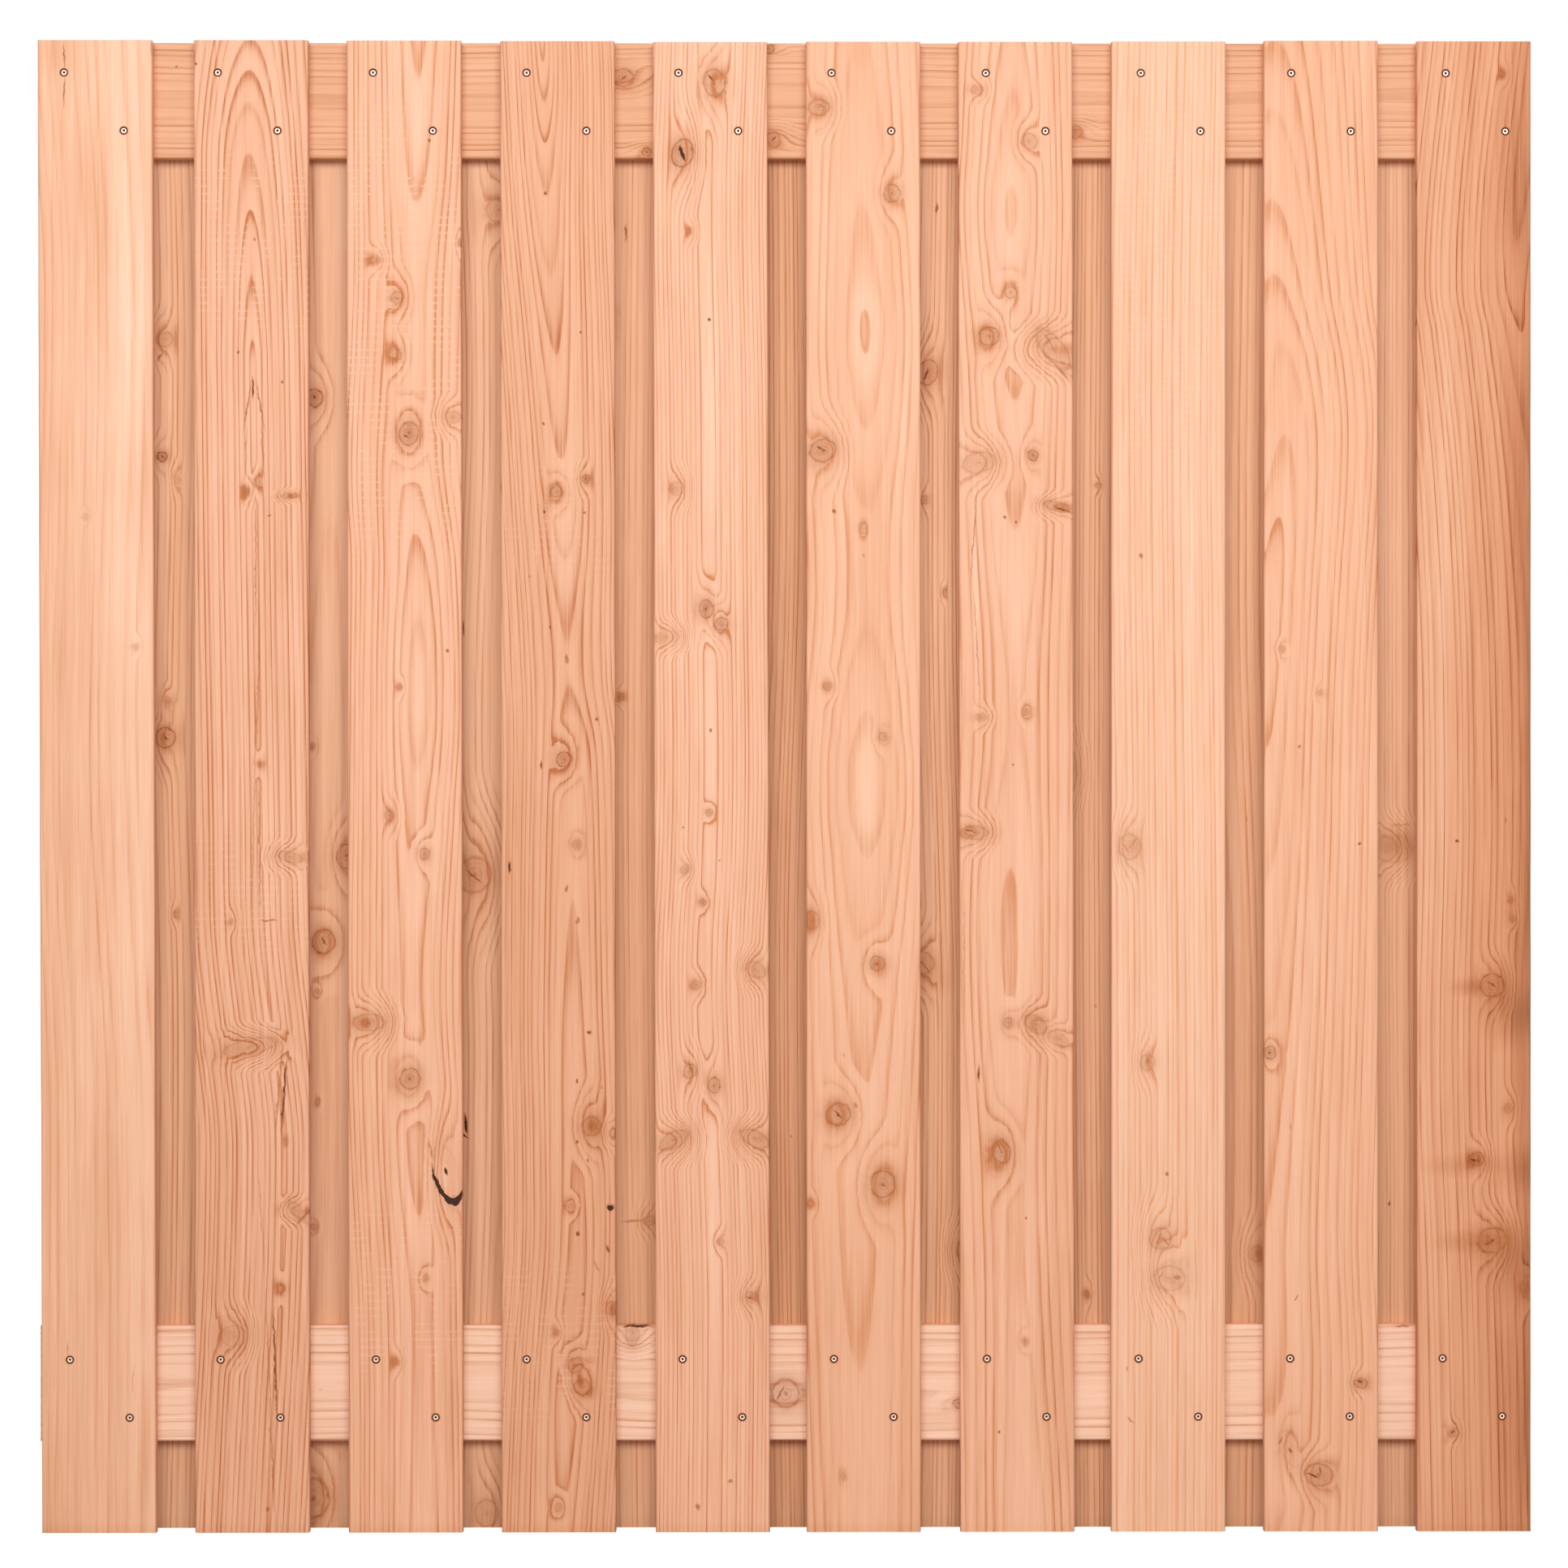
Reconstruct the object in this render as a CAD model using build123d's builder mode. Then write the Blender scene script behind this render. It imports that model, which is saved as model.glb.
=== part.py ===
# Closed garden fence panel: a row of front boards and a row of back boards that
# cover its gaps, screwed to two rails between them.
# Millimetres. Origin at the bottom centre, +X right, +Z up, the front faces -Y.
from build123d import *
from math import radians, tan
import os

os.makedirs("parts", exist_ok=True)

# Panel
panel_height = 1800
board_span = 1800
front_boards = 10

# Boards and rails, planed to one thickness
board_width = 138
board_thickness = 16
rail_width = 140
rail_thickness = 16
edge_radius = 3
rail_overhang = 2
bottom_rail_height = 108

# Wood screws, sunk a little below the face of the board. They are small and many,
# so they and their holes are eight-sided
screw_diameter = 4
screw_head_diameter = 7.6
screw_point = 5
screw_end_room = 2
screw_sink = 0.4
screw_fit = 0.05
screw_sides = 8
head_angle = 90

# A pair of screws holds a board on each rail, the left one higher
screw_side = 36
screw_rise = 35
screw_drop = 4

# How each front board stands off its even place, as its builder left it:
# its head and its foot to the right, its head below the rail's top edge,
# then its pairs of screws on the top and the bottom rail to the right
front_set_out = (
    (-2.0, 2.5, 0.0, -3.0, 3.5),
    (1.5, 2.5, 0.0, -2.5, 0.5),
    (1.0, 3.0, 0.5, 0.0, 3.0),
    (1.5, 3.0, 1.0, 0.5, 0.0),
    (1.0, 4.0, 2.0, -1.0, 3.5),
    (1.0, 1.5, 1.5, -1.0, 1.5),
    (0.0, 2.5, 1.5, 0.5, 1.5),
    (0.5, 0.0, 1.0, 3.0, 0.0),
    (0.0, 0.0, 0.0, 0.0, -1.5),
    (0.0, 0.0, 0.5, 2.0, -2.0),
)
even_set_out = (0.0, 0.0, 0.0, 0.0, 0.0)

# Worked out
board_pitch = (board_span - board_width) / (front_boards - 1)
back_boards = front_boards - 1
rail_length = board_span + 2 * rail_overhang
rail_front = -rail_thickness / 2
rail_back = rail_thickness / 2
panel_face = rail_back + board_thickness
top_rail_bottom = panel_height - rail_width
top_screw_line = top_rail_bottom + rail_width / 2 - screw_drop
bottom_screw_line = bottom_rail_height + rail_width / 2 - screw_drop
screw_length = board_thickness + rail_thickness - screw_end_room
half_head_angle = head_angle / 2


def board_places(count):
    """Even centres of a row of boards across the panel."""
    first = -(count - 1) * board_pitch / 2
    return [first + board_pitch * i for i in range(count)]


def screw_spots(centre, line):
    """The two screws of one board on one rail, as X and Z."""
    return [(centre - screw_side, line + screw_rise), (centre + screw_side, line - screw_rise)]


def screw_planes(spots, outward):
    """The planes of the heads' top faces at those spots, sunk into the panel's face, looking out."""
    y = outward * (panel_face - screw_sink)
    return [Plane(origin=(x, y, z), x_dir=(1, 0, 0), z_dir=(0, outward, 0)) for x, z in spots]


def screw_shape(room, rise):
    """A countersunk wood screw that points down, its head's top on the ground plane, grown by room.

    Its head's cone is carried on upwards by rise, as the countersink above a sunk head is.
    """
    shank_radius = screw_diameter / 2 + room
    head_radius = screw_head_diameter / 2 + room
    cone_depth = (head_radius - shank_radius) / tan(radians(half_head_angle))
    rim_radius = head_radius + rise * tan(radians(half_head_angle))
    with BuildPart() as shape:
        with BuildSketch(Plane.XY.offset(rise)):
            RegularPolygon(rim_radius, screw_sides, major_radius=False)
        with BuildSketch(Plane.XY.offset(-cone_depth)):
            RegularPolygon(shank_radius, screw_sides, major_radius=False)
        loft(ruled=True)
        with BuildSketch(Plane.XY.offset(-cone_depth)):
            RegularPolygon(shank_radius, screw_sides, major_radius=False)
        extrude(amount=cone_depth + screw_point - screw_length)
        with BuildSketch(Plane.XY.offset(screw_point - screw_length)) as shank_end:
            RegularPolygon(shank_radius, screw_sides, major_radius=False)
        loft([shank_end.sketch, Vertex(0, 0, -screw_length - room)], ruled=True)
    return shape


def board(centre, set_out, inner_face, outward):
    """An upright board from its outline, with rounded long edges and four countersunk holes."""
    head, foot, drop, top_screws, bottom_screws = set_out
    half = board_width / 2
    top = panel_height - drop
    spots = screw_spots(centre + top_screws, top_screw_line)
    spots += screw_spots(centre + bottom_screws, bottom_screw_line)
    with BuildPart() as plank:
        with BuildSketch(Plane.XZ.offset(-inner_face)):
            with BuildLine():
                Polyline(
                    (centre + foot - half, 0),
                    (centre + foot + half, 0),
                    (centre + head + half, top),
                    (centre + head - half, top),
                    close=True,
                )
            make_face()
        extrude(amount=-outward * board_thickness)
        long_edges = plank.edges().group_by(SortBy.LENGTH)[-1]
        fillet(long_edges, edge_radius)
        with Locations(*screw_planes(spots, outward)):
            add(screw_hole.part, mode=Mode.SUBTRACT)
    return plank


def rail(bottom, front_spots, back_spots):
    """A rail across the panel, with a hole for every screw from both sides."""
    with BuildPart() as beam:
        with BuildSketch(Plane.YZ.offset(-rail_length / 2)):
            with Locations((0, bottom + rail_width / 2)):
                RectangleRounded(rail_thickness, rail_width, edge_radius)
        extrude(amount=rail_length)
        with Locations(*screw_planes(front_spots, -1), *screw_planes(back_spots, 1)):
            add(screw_hole.part, mode=Mode.SUBTRACT)
    return beam


def screw_row(spots, outward):
    """One screw in every hole of a row."""
    with BuildPart() as row:
        with Locations(*screw_planes(spots, outward)):
            add(screw.part)
    return row


def save(name, piece):
    """Name a finished piece and write it."""
    piece.part.label = name
    export_step(piece.part, f"parts/{name}.step")


# One screw, and the room that it takes out of the wood
screw = screw_shape(room=0, rise=0)
screw_hole = screw_shape(room=screw_fit, rise=screw_sink)

# Where every screw goes
front_rows = list(zip(board_places(front_boards), front_set_out))
back_rows = [(centre, even_set_out) for centre in board_places(back_boards)]
front_top_spots = [s for c, row in front_rows for s in screw_spots(c + row[3], top_screw_line)]
front_bottom_spots = [s for c, row in front_rows for s in screw_spots(c + row[4], bottom_screw_line)]
back_top_spots = [s for c, row in back_rows for s in screw_spots(c + row[3], top_screw_line)]
back_bottom_spots = [s for c, row in back_rows for s in screw_spots(c + row[4], bottom_screw_line)]

# Front boards, numbered from the left
for number, (centre, set_out) in enumerate(front_rows, start=1):
    save(f"front_board_{number}", board(centre, set_out, rail_front, -1))

# Back boards, numbered from the left as seen from the front
for number, (centre, set_out) in enumerate(back_rows, start=1):
    save(f"back_board_{number}", board(centre, set_out, rail_back, 1))

# Rails
save("top_rail", rail(top_rail_bottom, front_top_spots, back_top_spots))
save("bottom_rail", rail(bottom_rail_height, front_bottom_spots, back_bottom_spots))

# Screws
save("front_screws_top", screw_row(front_top_spots, -1))
save("front_screws_bottom", screw_row(front_bottom_spots, -1))
save("back_screws_top", screw_row(back_top_spots, 1))
save("back_screws_bottom", screw_row(back_bottom_spots, 1))
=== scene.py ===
# %% [markdown]
# # A wooden fence panel
# The real panel is dry, planed larch: ten upright boards in front, nine behind their gaps, two rails
# between the rows and a pair of countersunk star-drive screws wherever a board crosses a rail. The exact
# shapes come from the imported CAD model. Each board is then built again as a finer mesh, and gets growth
# rings, knots, planing marks and a colour of its own, because no two boards in the photograph are alike.

# %% Open the frame
import bpy
import bmesh
import math
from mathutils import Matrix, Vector


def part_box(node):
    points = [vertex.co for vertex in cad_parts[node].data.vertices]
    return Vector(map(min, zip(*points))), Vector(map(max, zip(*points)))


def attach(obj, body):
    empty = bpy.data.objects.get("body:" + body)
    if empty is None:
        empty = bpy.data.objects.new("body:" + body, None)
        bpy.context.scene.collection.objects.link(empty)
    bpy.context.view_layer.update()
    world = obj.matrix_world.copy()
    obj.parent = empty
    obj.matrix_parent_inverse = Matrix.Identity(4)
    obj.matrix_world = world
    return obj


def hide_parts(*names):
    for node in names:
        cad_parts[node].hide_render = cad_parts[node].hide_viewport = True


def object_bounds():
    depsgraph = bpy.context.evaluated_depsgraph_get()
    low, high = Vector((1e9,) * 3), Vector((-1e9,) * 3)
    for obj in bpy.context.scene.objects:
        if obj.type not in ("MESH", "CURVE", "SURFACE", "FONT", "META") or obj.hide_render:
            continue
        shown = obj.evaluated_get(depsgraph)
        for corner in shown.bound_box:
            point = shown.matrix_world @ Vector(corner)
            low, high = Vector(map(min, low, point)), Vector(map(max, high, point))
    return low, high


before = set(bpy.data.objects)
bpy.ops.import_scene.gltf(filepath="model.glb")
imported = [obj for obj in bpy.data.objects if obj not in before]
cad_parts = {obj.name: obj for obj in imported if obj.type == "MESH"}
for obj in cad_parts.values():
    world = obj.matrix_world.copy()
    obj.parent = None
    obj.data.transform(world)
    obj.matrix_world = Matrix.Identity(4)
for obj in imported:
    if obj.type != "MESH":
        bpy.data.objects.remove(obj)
cad_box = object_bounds()
panel_height = cad_box[1].z
print("CAD box", [round(v, 4) for corner in cad_box for v in corner])

# %% [markdown]
# ## The camera
# A product photograph of a flat panel is taken square on, from far away and with a long lens, so the
# boards stay parallel. The place and the small turns below make the corners of all ten boards fall where
# the photograph has them. Lens and distance belong together: the feet of the back boards show 7 pixels
# above those of the front boards, which fits 4.75 m.

# %% Place the camera
photo_size = 1932
camera_place = Vector((-0.0258, -4.774, 0.9077))
camera_right_turn = math.radians(0.284)
camera_down_tip = math.radians(0.056)
camera_lean = math.radians(0.017)
camera_data = bpy.data.cameras.new("photo_camera")
camera_data.lens = 90.38
camera_data.sensor_width = 36.0
camera = bpy.data.objects.new("photo_camera", camera_data)
camera.location = camera_place
camera.rotation_euler = (math.pi / 2 - camera_down_tip, camera_lean, -camera_right_turn)
bpy.context.scene.collection.objects.link(camera)
bpy.context.scene.camera = camera
print("camera", camera_data.lens, "mm at", tuple(camera_place))

# %% [markdown]
# ## From the photograph to the panel
# Knots, scars and colour patches were noted as pixels of the photograph. A line from the camera
# through the pixel meets the face of the board at the real place, so one function turns every note into
# metres.

# %% Read a pixel as a place on the panel
front_face = -0.024
rail_face = -0.008
back_face = 0.008
focal_pixels = camera_data.lens / camera_data.sensor_width * photo_size
camera_axes = camera.rotation_euler.to_matrix()


def on_panel(pixel_x, pixel_y, face):
    """The place where a pixel of the photograph shows the upright plane y = face."""
    middle = photo_size / 2
    aim = camera_axes @ Vector(((pixel_x - middle) / focal_pixels, (middle - pixel_y) / focal_pixels, -1.0))
    return camera_place + aim * ((face - camera_place.y) / aim.y)


pixel = (on_panel(967, 966, front_face) - on_panel(966, 966, front_face)).x
print("one pixel is", round(pixel * 1000, 3), "mm on the front boards")

# %% [markdown]
# ## Small helpers for node trees
# A material or a Geometry Nodes tree is a list of nodes and the links between them. These helpers keep
# each step to one line: a value that is a socket is linked, and any other value is set.

# %% Put a node in a tree


def plug(tree, socket, value):
    """Link a socket to this one, or set a value on it."""
    if isinstance(value, bpy.types.NodeSocket):
        tree.links.new(value, socket)
    else:
        socket.default_value = value


def put(tree, kind, settings=None, sockets=None):
    """One node with its settings, and with its sockets set or linked by name."""
    node = tree.nodes.new(kind)
    for name, value in (settings or {}).items():
        setattr(node, name, value)
    for name, value in (sockets or {}).items():
        plug(tree, node.inputs[name], value)
    return node


def new_group(name, kind, inputs, outputs):
    """An empty node group with named sockets, and its input and output nodes."""
    tree = bpy.data.node_groups.new(name, kind)
    for socket_name, socket_kind in inputs:
        tree.interface.new_socket(name=socket_name, in_out="INPUT", socket_type="NodeSocket" + socket_kind)
    for socket_name, socket_kind in outputs:
        tree.interface.new_socket(name=socket_name, in_out="OUTPUT", socket_type="NodeSocket" + socket_kind)
    print("group", name, "with", len(inputs), "inputs")
    return tree, put(tree, "NodeGroupInput").outputs, put(tree, "NodeGroupOutput").inputs


def spaced(sockets):
    """Socket values under the names that Blender gives them, with spaces."""
    return {name.replace("_", " "): value for name, value in sockets.items()}


def group_node(tree, group, **sockets):
    """A node that places a group, with its sockets set by name."""
    return put(tree, "ShaderNodeGroup", {"node_tree": group}, spaced(sockets))


# %% Sums in nodes


def maths(tree, operation, *values):
    """The result of one Math node."""
    node = put(tree, "ShaderNodeMath", {"operation": operation})
    for socket, value in zip(node.inputs, values):
        plug(tree, socket, value)
    return node.outputs[0]


def vectors(tree, operation, *values):
    """The result of one Vector Math node, a number for a length or a dot product."""
    node = put(tree, "ShaderNodeVectorMath", {"operation": operation})
    for socket, value in zip(node.inputs, values):
        plug(tree, socket, value)
    return node.outputs[1] if operation in ("LENGTH", "DOT_PRODUCT") else node.outputs[0]


def scaled(tree, vector, factor):
    """A vector or a colour times a number."""
    return put(tree, "ShaderNodeVectorMath", {"operation": "SCALE"}, {0: vector, "Scale": factor}).outputs[0]


def split(tree, place):
    """The X, Y and Z of a place."""
    return put(tree, "ShaderNodeSeparateXYZ", sockets={0: place}).outputs


def joined(tree, **axes):
    """A place from its X, Y and Z, with 0 for those left out."""
    return put(tree, "ShaderNodeCombineXYZ", sockets=axes).outputs[0]


# %% Shapes over a value


def fade(tree, value, start, end, at_start, at_end):
    """A smooth change from one value to another while the input goes from start to end."""
    settings = {"interpolation_type": "SMOOTHSTEP"}
    sockets = {"Value": value, "From Min": start, "From Max": end, "To Min": at_start, "To Max": at_end}
    return put(tree, "ShaderNodeMapRange", settings, sockets).outputs[0]


def curve(tree, value, points):
    """The height of a drawn curve over the input, both from 0 to 1."""
    node = put(tree, "ShaderNodeFloatCurve", sockets={"Value": value})
    drawn = node.mapping.curves[0]
    for place, height in points[1:-1]:
        drawn.points.new(place, height)
    for point, (place, height) in zip(drawn.points, points):
        point.location = (place, height)
        point.handle_type = "AUTO_CLAMPED"
    node.mapping.update()
    return node.outputs[0]


def clouds(tree, place, detail, scale=1.0):
    """Noise in space, around one half."""
    sockets = {"Vector": place, "Scale": scale, "Detail": detail}
    return put(tree, "ShaderNodeTexNoise", sockets=sockets).outputs[0]


def ups_and_downs(tree, along, detail, scale):
    """Noise along a line, around one half."""
    sockets = {"W": along, "Scale": scale, "Detail": detail}
    return put(tree, "ShaderNodeTexNoise", {"noise_dimensions": "1D"}, sockets).outputs[0]


# %% Colours


def paint(red, green, blue):
    """A colour as it looks on the screen, 0 to 255, turned into the linear values that Blender mixes."""
    linear = []
    for part in (red, green, blue):
        part = part / 255
        linear.append(part / 12.92 if part < 0.04045 else ((part + 0.055) / 1.055) ** 2.4)
    return (*linear, 1.0)


def blend_colours(tree, share, first, second):
    """A mix of two colours."""
    return put(tree, "ShaderNodeMix", {"data_type": "RGBA"}, {0: share, 6: first, 7: second}).outputs[2]


print("pale larch is", [round(part, 3) for part in paint(252, 196, 161)[:3]], "in linear values")

# %% [markdown]
# ## Where the screws go
# The CAD node of a row of screws holds the exact places. Each head's top face is a small ring of points,
# so the points nearest to the outside of the panel, sorted into heaps, give one mark for each screw. The
# number with a row says which way its screws look: 1 to the front and -1 to the back.

# %% Read the marks from the CAD rows
screw_rows = {
    "front_screws_top": 1.0,
    "front_screws_bottom": 1.0,
    "back_screws_top": -1.0,
    "back_screws_bottom": -1.0,
}
head_face = 0.0236
head_radius = 0.0038


def screw_marks(row):
    """The middle of each screw head's top face in a CAD row."""
    heaps = []
    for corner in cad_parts[row].data.vertices:
        if abs(abs(corner.co.y) - head_face) > 1e-5:
            continue
        near = [heap for heap in heaps if (heap[0] - corner.co).length < 3 * head_radius]
        if near:
            near[0].append(corner.co.copy())
        else:
            heaps.append([corner.co.copy()])
    marks = []
    for heap in heaps:
        middle_x = (min(p.x for p in heap) + max(p.x for p in heap)) / 2
        middle_z = (min(p.z for p in heap) + max(p.z for p in heap)) / 2
        marks.append(Vector((middle_x, heap[0].y, middle_z)))
    return marks


row_marks = {row: screw_marks(row) for row in screw_rows}
print({row: len(marks) for row, marks in row_marks.items()})

# %% [markdown]
# ## Growth rings
# A trunk grows one ring a year around its heart. A flat-sawn board cuts those rings lengthwise: straight
# lines at its sides, and arches, flames and long ovals where the heart comes nearer to the face or goes
# deeper. So the rings are not drawn but cut: the distance from the heart line, divided by the width of a
# ring, counts the rings at any point in the wood, also on the edges and the sawn ends. Each ring starts
# pale and soft and ends in a thin dark line.

# %% The growth ring group
inputs = [("Place", "Vector"), ("Heart", "Float"), ("Depth", "Float"), ("Ring width", "Float")]
inputs += [("Waviness", "Float"), ("Unevenness", "Float"), ("Lift", "Float"), ("Seed", "Vector")]
outputs = [("Late wood", "Float"), ("Ring tone", "Float")]
tree, come, go = new_group("growth_rings", "ShaderNodeTree", inputs, outputs)
growth_rings = tree
stretched = vectors(tree, "MULTIPLY_ADD", come["Place"], (9.0, 9.0, 1.3), come["Seed"])
wander = maths(tree, "SUBTRACT", clouds(tree, stretched, 3.0), 0.5)
wander = maths(tree, "MULTIPLY", wander, come["Waviness"])
axes = split(tree, come["Place"])
across = maths(tree, "ADD", maths(tree, "SUBTRACT", axes["X"], come["Heart"]), wander)
inward = maths(tree, "ADD", maths(tree, "SUBTRACT", axes["Y"], come["Depth"]), wander)
from_heart = vectors(tree, "LENGTH", joined(tree, X=across, Y=inward))
count = maths(tree, "DIVIDE", from_heart, come["Ring width"])
late_or_early = maths(tree, "SUBTRACT", ups_and_downs(tree, count, 1.0, 0.45), 0.5)
late_or_early = maths(tree, "MULTIPLY", late_or_early, come["Unevenness"])
years = maths(tree, "ADD", maths(tree, "ADD", count, late_or_early), come["Lift"])
ring_profile = ((0.0, 0.35), (0.07, 0.1), (0.3, 0.06), (0.6, 0.22), (0.84, 0.8), (0.93, 1.0), (1.0, 0.35))
dark_line = curve(tree, maths(tree, "FRACT", years), ring_profile)
strong_year = ups_and_downs(tree, maths(tree, "FLOOR", years), 0.0, 0.83)
strength = fade(tree, strong_year, 0.25, 0.75, 0.35, 1.15)
plug(tree, go["Late wood"], maths(tree, "MULTIPLY", dark_line, strength))
plug(tree, go["Ring tone"], maths(tree, "SUBTRACT", ups_and_downs(tree, years, 1.0, 0.23), 0.5))

# %% [markdown]
# ## Knots
# A knot is a branch cut across. Its own rings are darker than the wood around it, a dark line of bark or
# resin rings it, and the board's rings flow round it. The group does both: it pulls the place that the
# ring group reads towards the knot, which bends the lines outward on both sides, it lifts the count of
# rings so that they close around it, and it adds the knot's own darkness from a drawn profile. Groups are
# chained, so each passes on the bent place and the darkness so far.

# %% The knot group
oval_inputs = [("Place", "Vector"), ("Centre", "Vector"), ("Across", "Vector"), ("Along", "Vector")]
carried = [("Grain place", "Vector"), ("Dark", "Float"), ("Lift", "Float"), ("Stir", "Float")]


def in_oval(tree, come):
    """How far a place is from a mark's middle, and the same counted in the mark's own half sizes."""
    offset = vectors(tree, "SUBTRACT", come["Place"], come["Centre"])
    across = vectors(tree, "DOT_PRODUCT", offset, come["Across"])
    along = vectors(tree, "DOT_PRODUCT", offset, come["Along"])
    return offset, joined(tree, X=across, Y=along)


def keep_darker(tree, come, go, dark):
    """Pass on this mark or the darkness so far, whichever is darker."""
    plug(tree, go["Dark"], maths(tree, "MAXIMUM", come["Dark"], dark))


inputs = carried + oval_inputs + [("Reach", "Vector"), ("Bend", "Vector"), ("Rings", "Float")]
inputs += [("Darkness", "Float")]
tree, come, go = new_group("knot", "ShaderNodeTree", inputs, carried)
knot = tree
offset, turned = in_oval(tree, come)
knot_profile = ((0.0, 1.0), (0.05, 0.82), (0.11, 0.5), (0.17, 0.6), (0.22, 0.42), (0.28, 0.52), (0.33, 0.44),
                (0.39, 0.8), (0.44, 0.42), (0.52, 0.24), (0.66, 0.14), (0.84, 0.05), (1.0, 0.0))
profile_end = 2.5
radii_out = maths(tree, "MULTIPLY", vectors(tree, "LENGTH", turned), 1 / profile_end)
darkness = curve(tree, radii_out, knot_profile)
keep_darker(tree, come, go, maths(tree, "MULTIPLY", darkness, come["Darkness"]))
near = vectors(tree, "LENGTH", vectors(tree, "MULTIPLY", offset, come["Reach"]))
pull = fade(tree, near, 0.0, 1.0, 1.0, 0.0)
plug(tree, go["Lift"], maths(tree, "MULTIPLY_ADD", pull, come["Rings"], come["Lift"]))
plug(tree, go["Stir"], maths(tree, "MAXIMUM", come["Stir"], pull))
grain_offset = vectors(tree, "SUBTRACT", come["Grain place"], come["Centre"])
bent = vectors(tree, "MULTIPLY_ADD", grain_offset, scaled(tree, come["Bend"], pull), come["Grain place"])
plug(tree, go["Grain place"], bent)

# %% [markdown]
# ## Specks, bark, painted shadows round the screws, and patches
# Pin knots, resin slits and hairline splits only darken the surface, and the grain passes them by, so
# they have a lighter group. A strip of bark that grew in is a bent line, thickest in its middle. Where a
# screw was driven home, the fibres round its head are crushed, and a dark ring is painted round the head
# as the shadow in the gap round the sunk head. The last group lightens or darkens a soft oval, because no
# board has one tone all over.

# %% The speck group
inputs = [("Dark", "Float")] + oval_inputs + [("Darkness", "Float")]
tree, come, go = new_group("speck", "ShaderNodeTree", inputs, [("Dark", "Float")])
speck = tree
offset, turned = in_oval(tree, come)
inside = fade(tree, vectors(tree, "LENGTH", turned), 0.5, 1.5, 1.0, 0.0)
keep_darker(tree, come, go, maths(tree, "MULTIPLY", inside, come["Darkness"]))

# %% The bark arc group
inputs = [("Dark", "Float")] + oval_inputs
inputs += [("Facing", "Vector"), ("Thickness", "Float"), ("Darkness", "Float")]
tree, come, go = new_group("bark_arc", "ShaderNodeTree", inputs, [("Dark", "Float")])
bark_arc = tree
offset, turned = in_oval(tree, come)
off_line = maths(tree, "ABSOLUTE", maths(tree, "SUBTRACT", vectors(tree, "LENGTH", turned), 1.0))
heading = vectors(tree, "DOT_PRODUCT", vectors(tree, "NORMALIZE", turned), come["Facing"])
width_here = maths(tree, "MULTIPLY", fade(tree, heading, 0.05, 0.8, 0.0, 1.0), come["Thickness"])
inside = maths(tree, "GREATER_THAN", width_here, off_line)
keep_darker(tree, come, go, maths(tree, "MULTIPLY", inside, come["Darkness"]))

# %% The painted shadow ring round a screw head
inputs = [("Dark", "Float"), ("Place", "Vector"), ("Centre", "Vector"), ("Radius", "Float")]
tree, come, go = new_group("shadow_and_crushed_ring", "ShaderNodeTree", inputs, [("Dark", "Float")])
shadow_and_crushed_ring = tree
away = vectors(tree, "LENGTH", vectors(tree, "SUBTRACT", come["Place"], come["Centre"]))
head_radii = maths(tree, "DIVIDE", away, come["Radius"])
# painted shadow: dark out to 1.2 head radii and fading out by 1.6, round the sunk head
keep_darker(tree, come, go, fade(tree, head_radii, 1.2, 1.6, 1.05, 0.0))

# %% The patch group
inputs = [("Tone", "Float"), ("Place", "Vector"), ("Centre", "Vector"), ("Reach", "Vector")]
inputs += [("Shade", "Float")]
tree, come, go = new_group("patch", "ShaderNodeTree", inputs, [("Tone", "Float")])
patch = tree
offset = vectors(tree, "SUBTRACT", come["Place"], come["Centre"])
near = vectors(tree, "LENGTH", vectors(tree, "MULTIPLY", offset, come["Reach"]))
share = fade(tree, near, 0.0, 1.4, 1.0, 0.0)
plug(tree, go["Tone"], maths(tree, "MULTIPLY_ADD", share, come["Shade"], come["Tone"]))

# %% [markdown]
# ## Fibres and planing marks
# Between the rings the wood has fine fibres, long in the direction of the grain and under a millimetre
# wide. The planer's knives leave faint bars across the board, about one centimetre apart, and only here
# and there.

# %% The fibre group
inputs = [("Place", "Vector"), ("Seed", "Vector")]
outputs = [("Fibre", "Float"), ("Cloud", "Float"), ("Relief", "Float")]
tree, come, go = new_group("fibres", "ShaderNodeTree", inputs, outputs)
fibres = tree
fine = vectors(tree, "MULTIPLY_ADD", come["Place"], (900.0, 900.0, 14.0), come["Seed"])
fine = clouds(tree, fine, 1.0)
coarse = vectors(tree, "MULTIPLY_ADD", come["Place"], (190.0, 190.0, 3.0), come["Seed"])
coarse = clouds(tree, coarse, 2.0)
plug(tree, go["Fibre"], maths(tree, "SUBTRACT", maths(tree, "ADD", fine, coarse), 1.0))
plug(tree, go["Relief"], fine)
broad = vectors(tree, "MULTIPLY_ADD", come["Place"], (14.0, 14.0, 4.0), come["Seed"])
plug(tree, go["Cloud"], maths(tree, "SUBTRACT", clouds(tree, broad, 2.0), 0.5))

# %% The planing mark group
knife_pitch = 0.0094
inputs = [("Place", "Vector"), ("Middle", "Float"), ("Half length", "Float"), ("Strength", "Float")]
tree, come, go = new_group("planing_marks", "ShaderNodeTree", inputs, [("Marks", "Float")])
planing = tree
height = split(tree, come["Place"])["Z"]
patchy = clouds(tree, vectors(tree, "MULTIPLY", come["Place"], (70.0, 70.0, 30.0)), 1.0)
turn = maths(tree, "MULTIPLY", height, 2 * math.pi / knife_pitch)
turn = maths(tree, "MULTIPLY_ADD", patchy, 2.0, turn)
bar = fade(tree, maths(tree, "COSINE", turn), 0.3, 1.0, 0.0, 1.0)
bar = maths(tree, "MULTIPLY", bar, fade(tree, patchy, 0.45, 0.65, 0.0, 1.0))
from_middle = maths(tree, "ABSOLUTE", maths(tree, "SUBTRACT", height, come["Middle"]))
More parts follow.
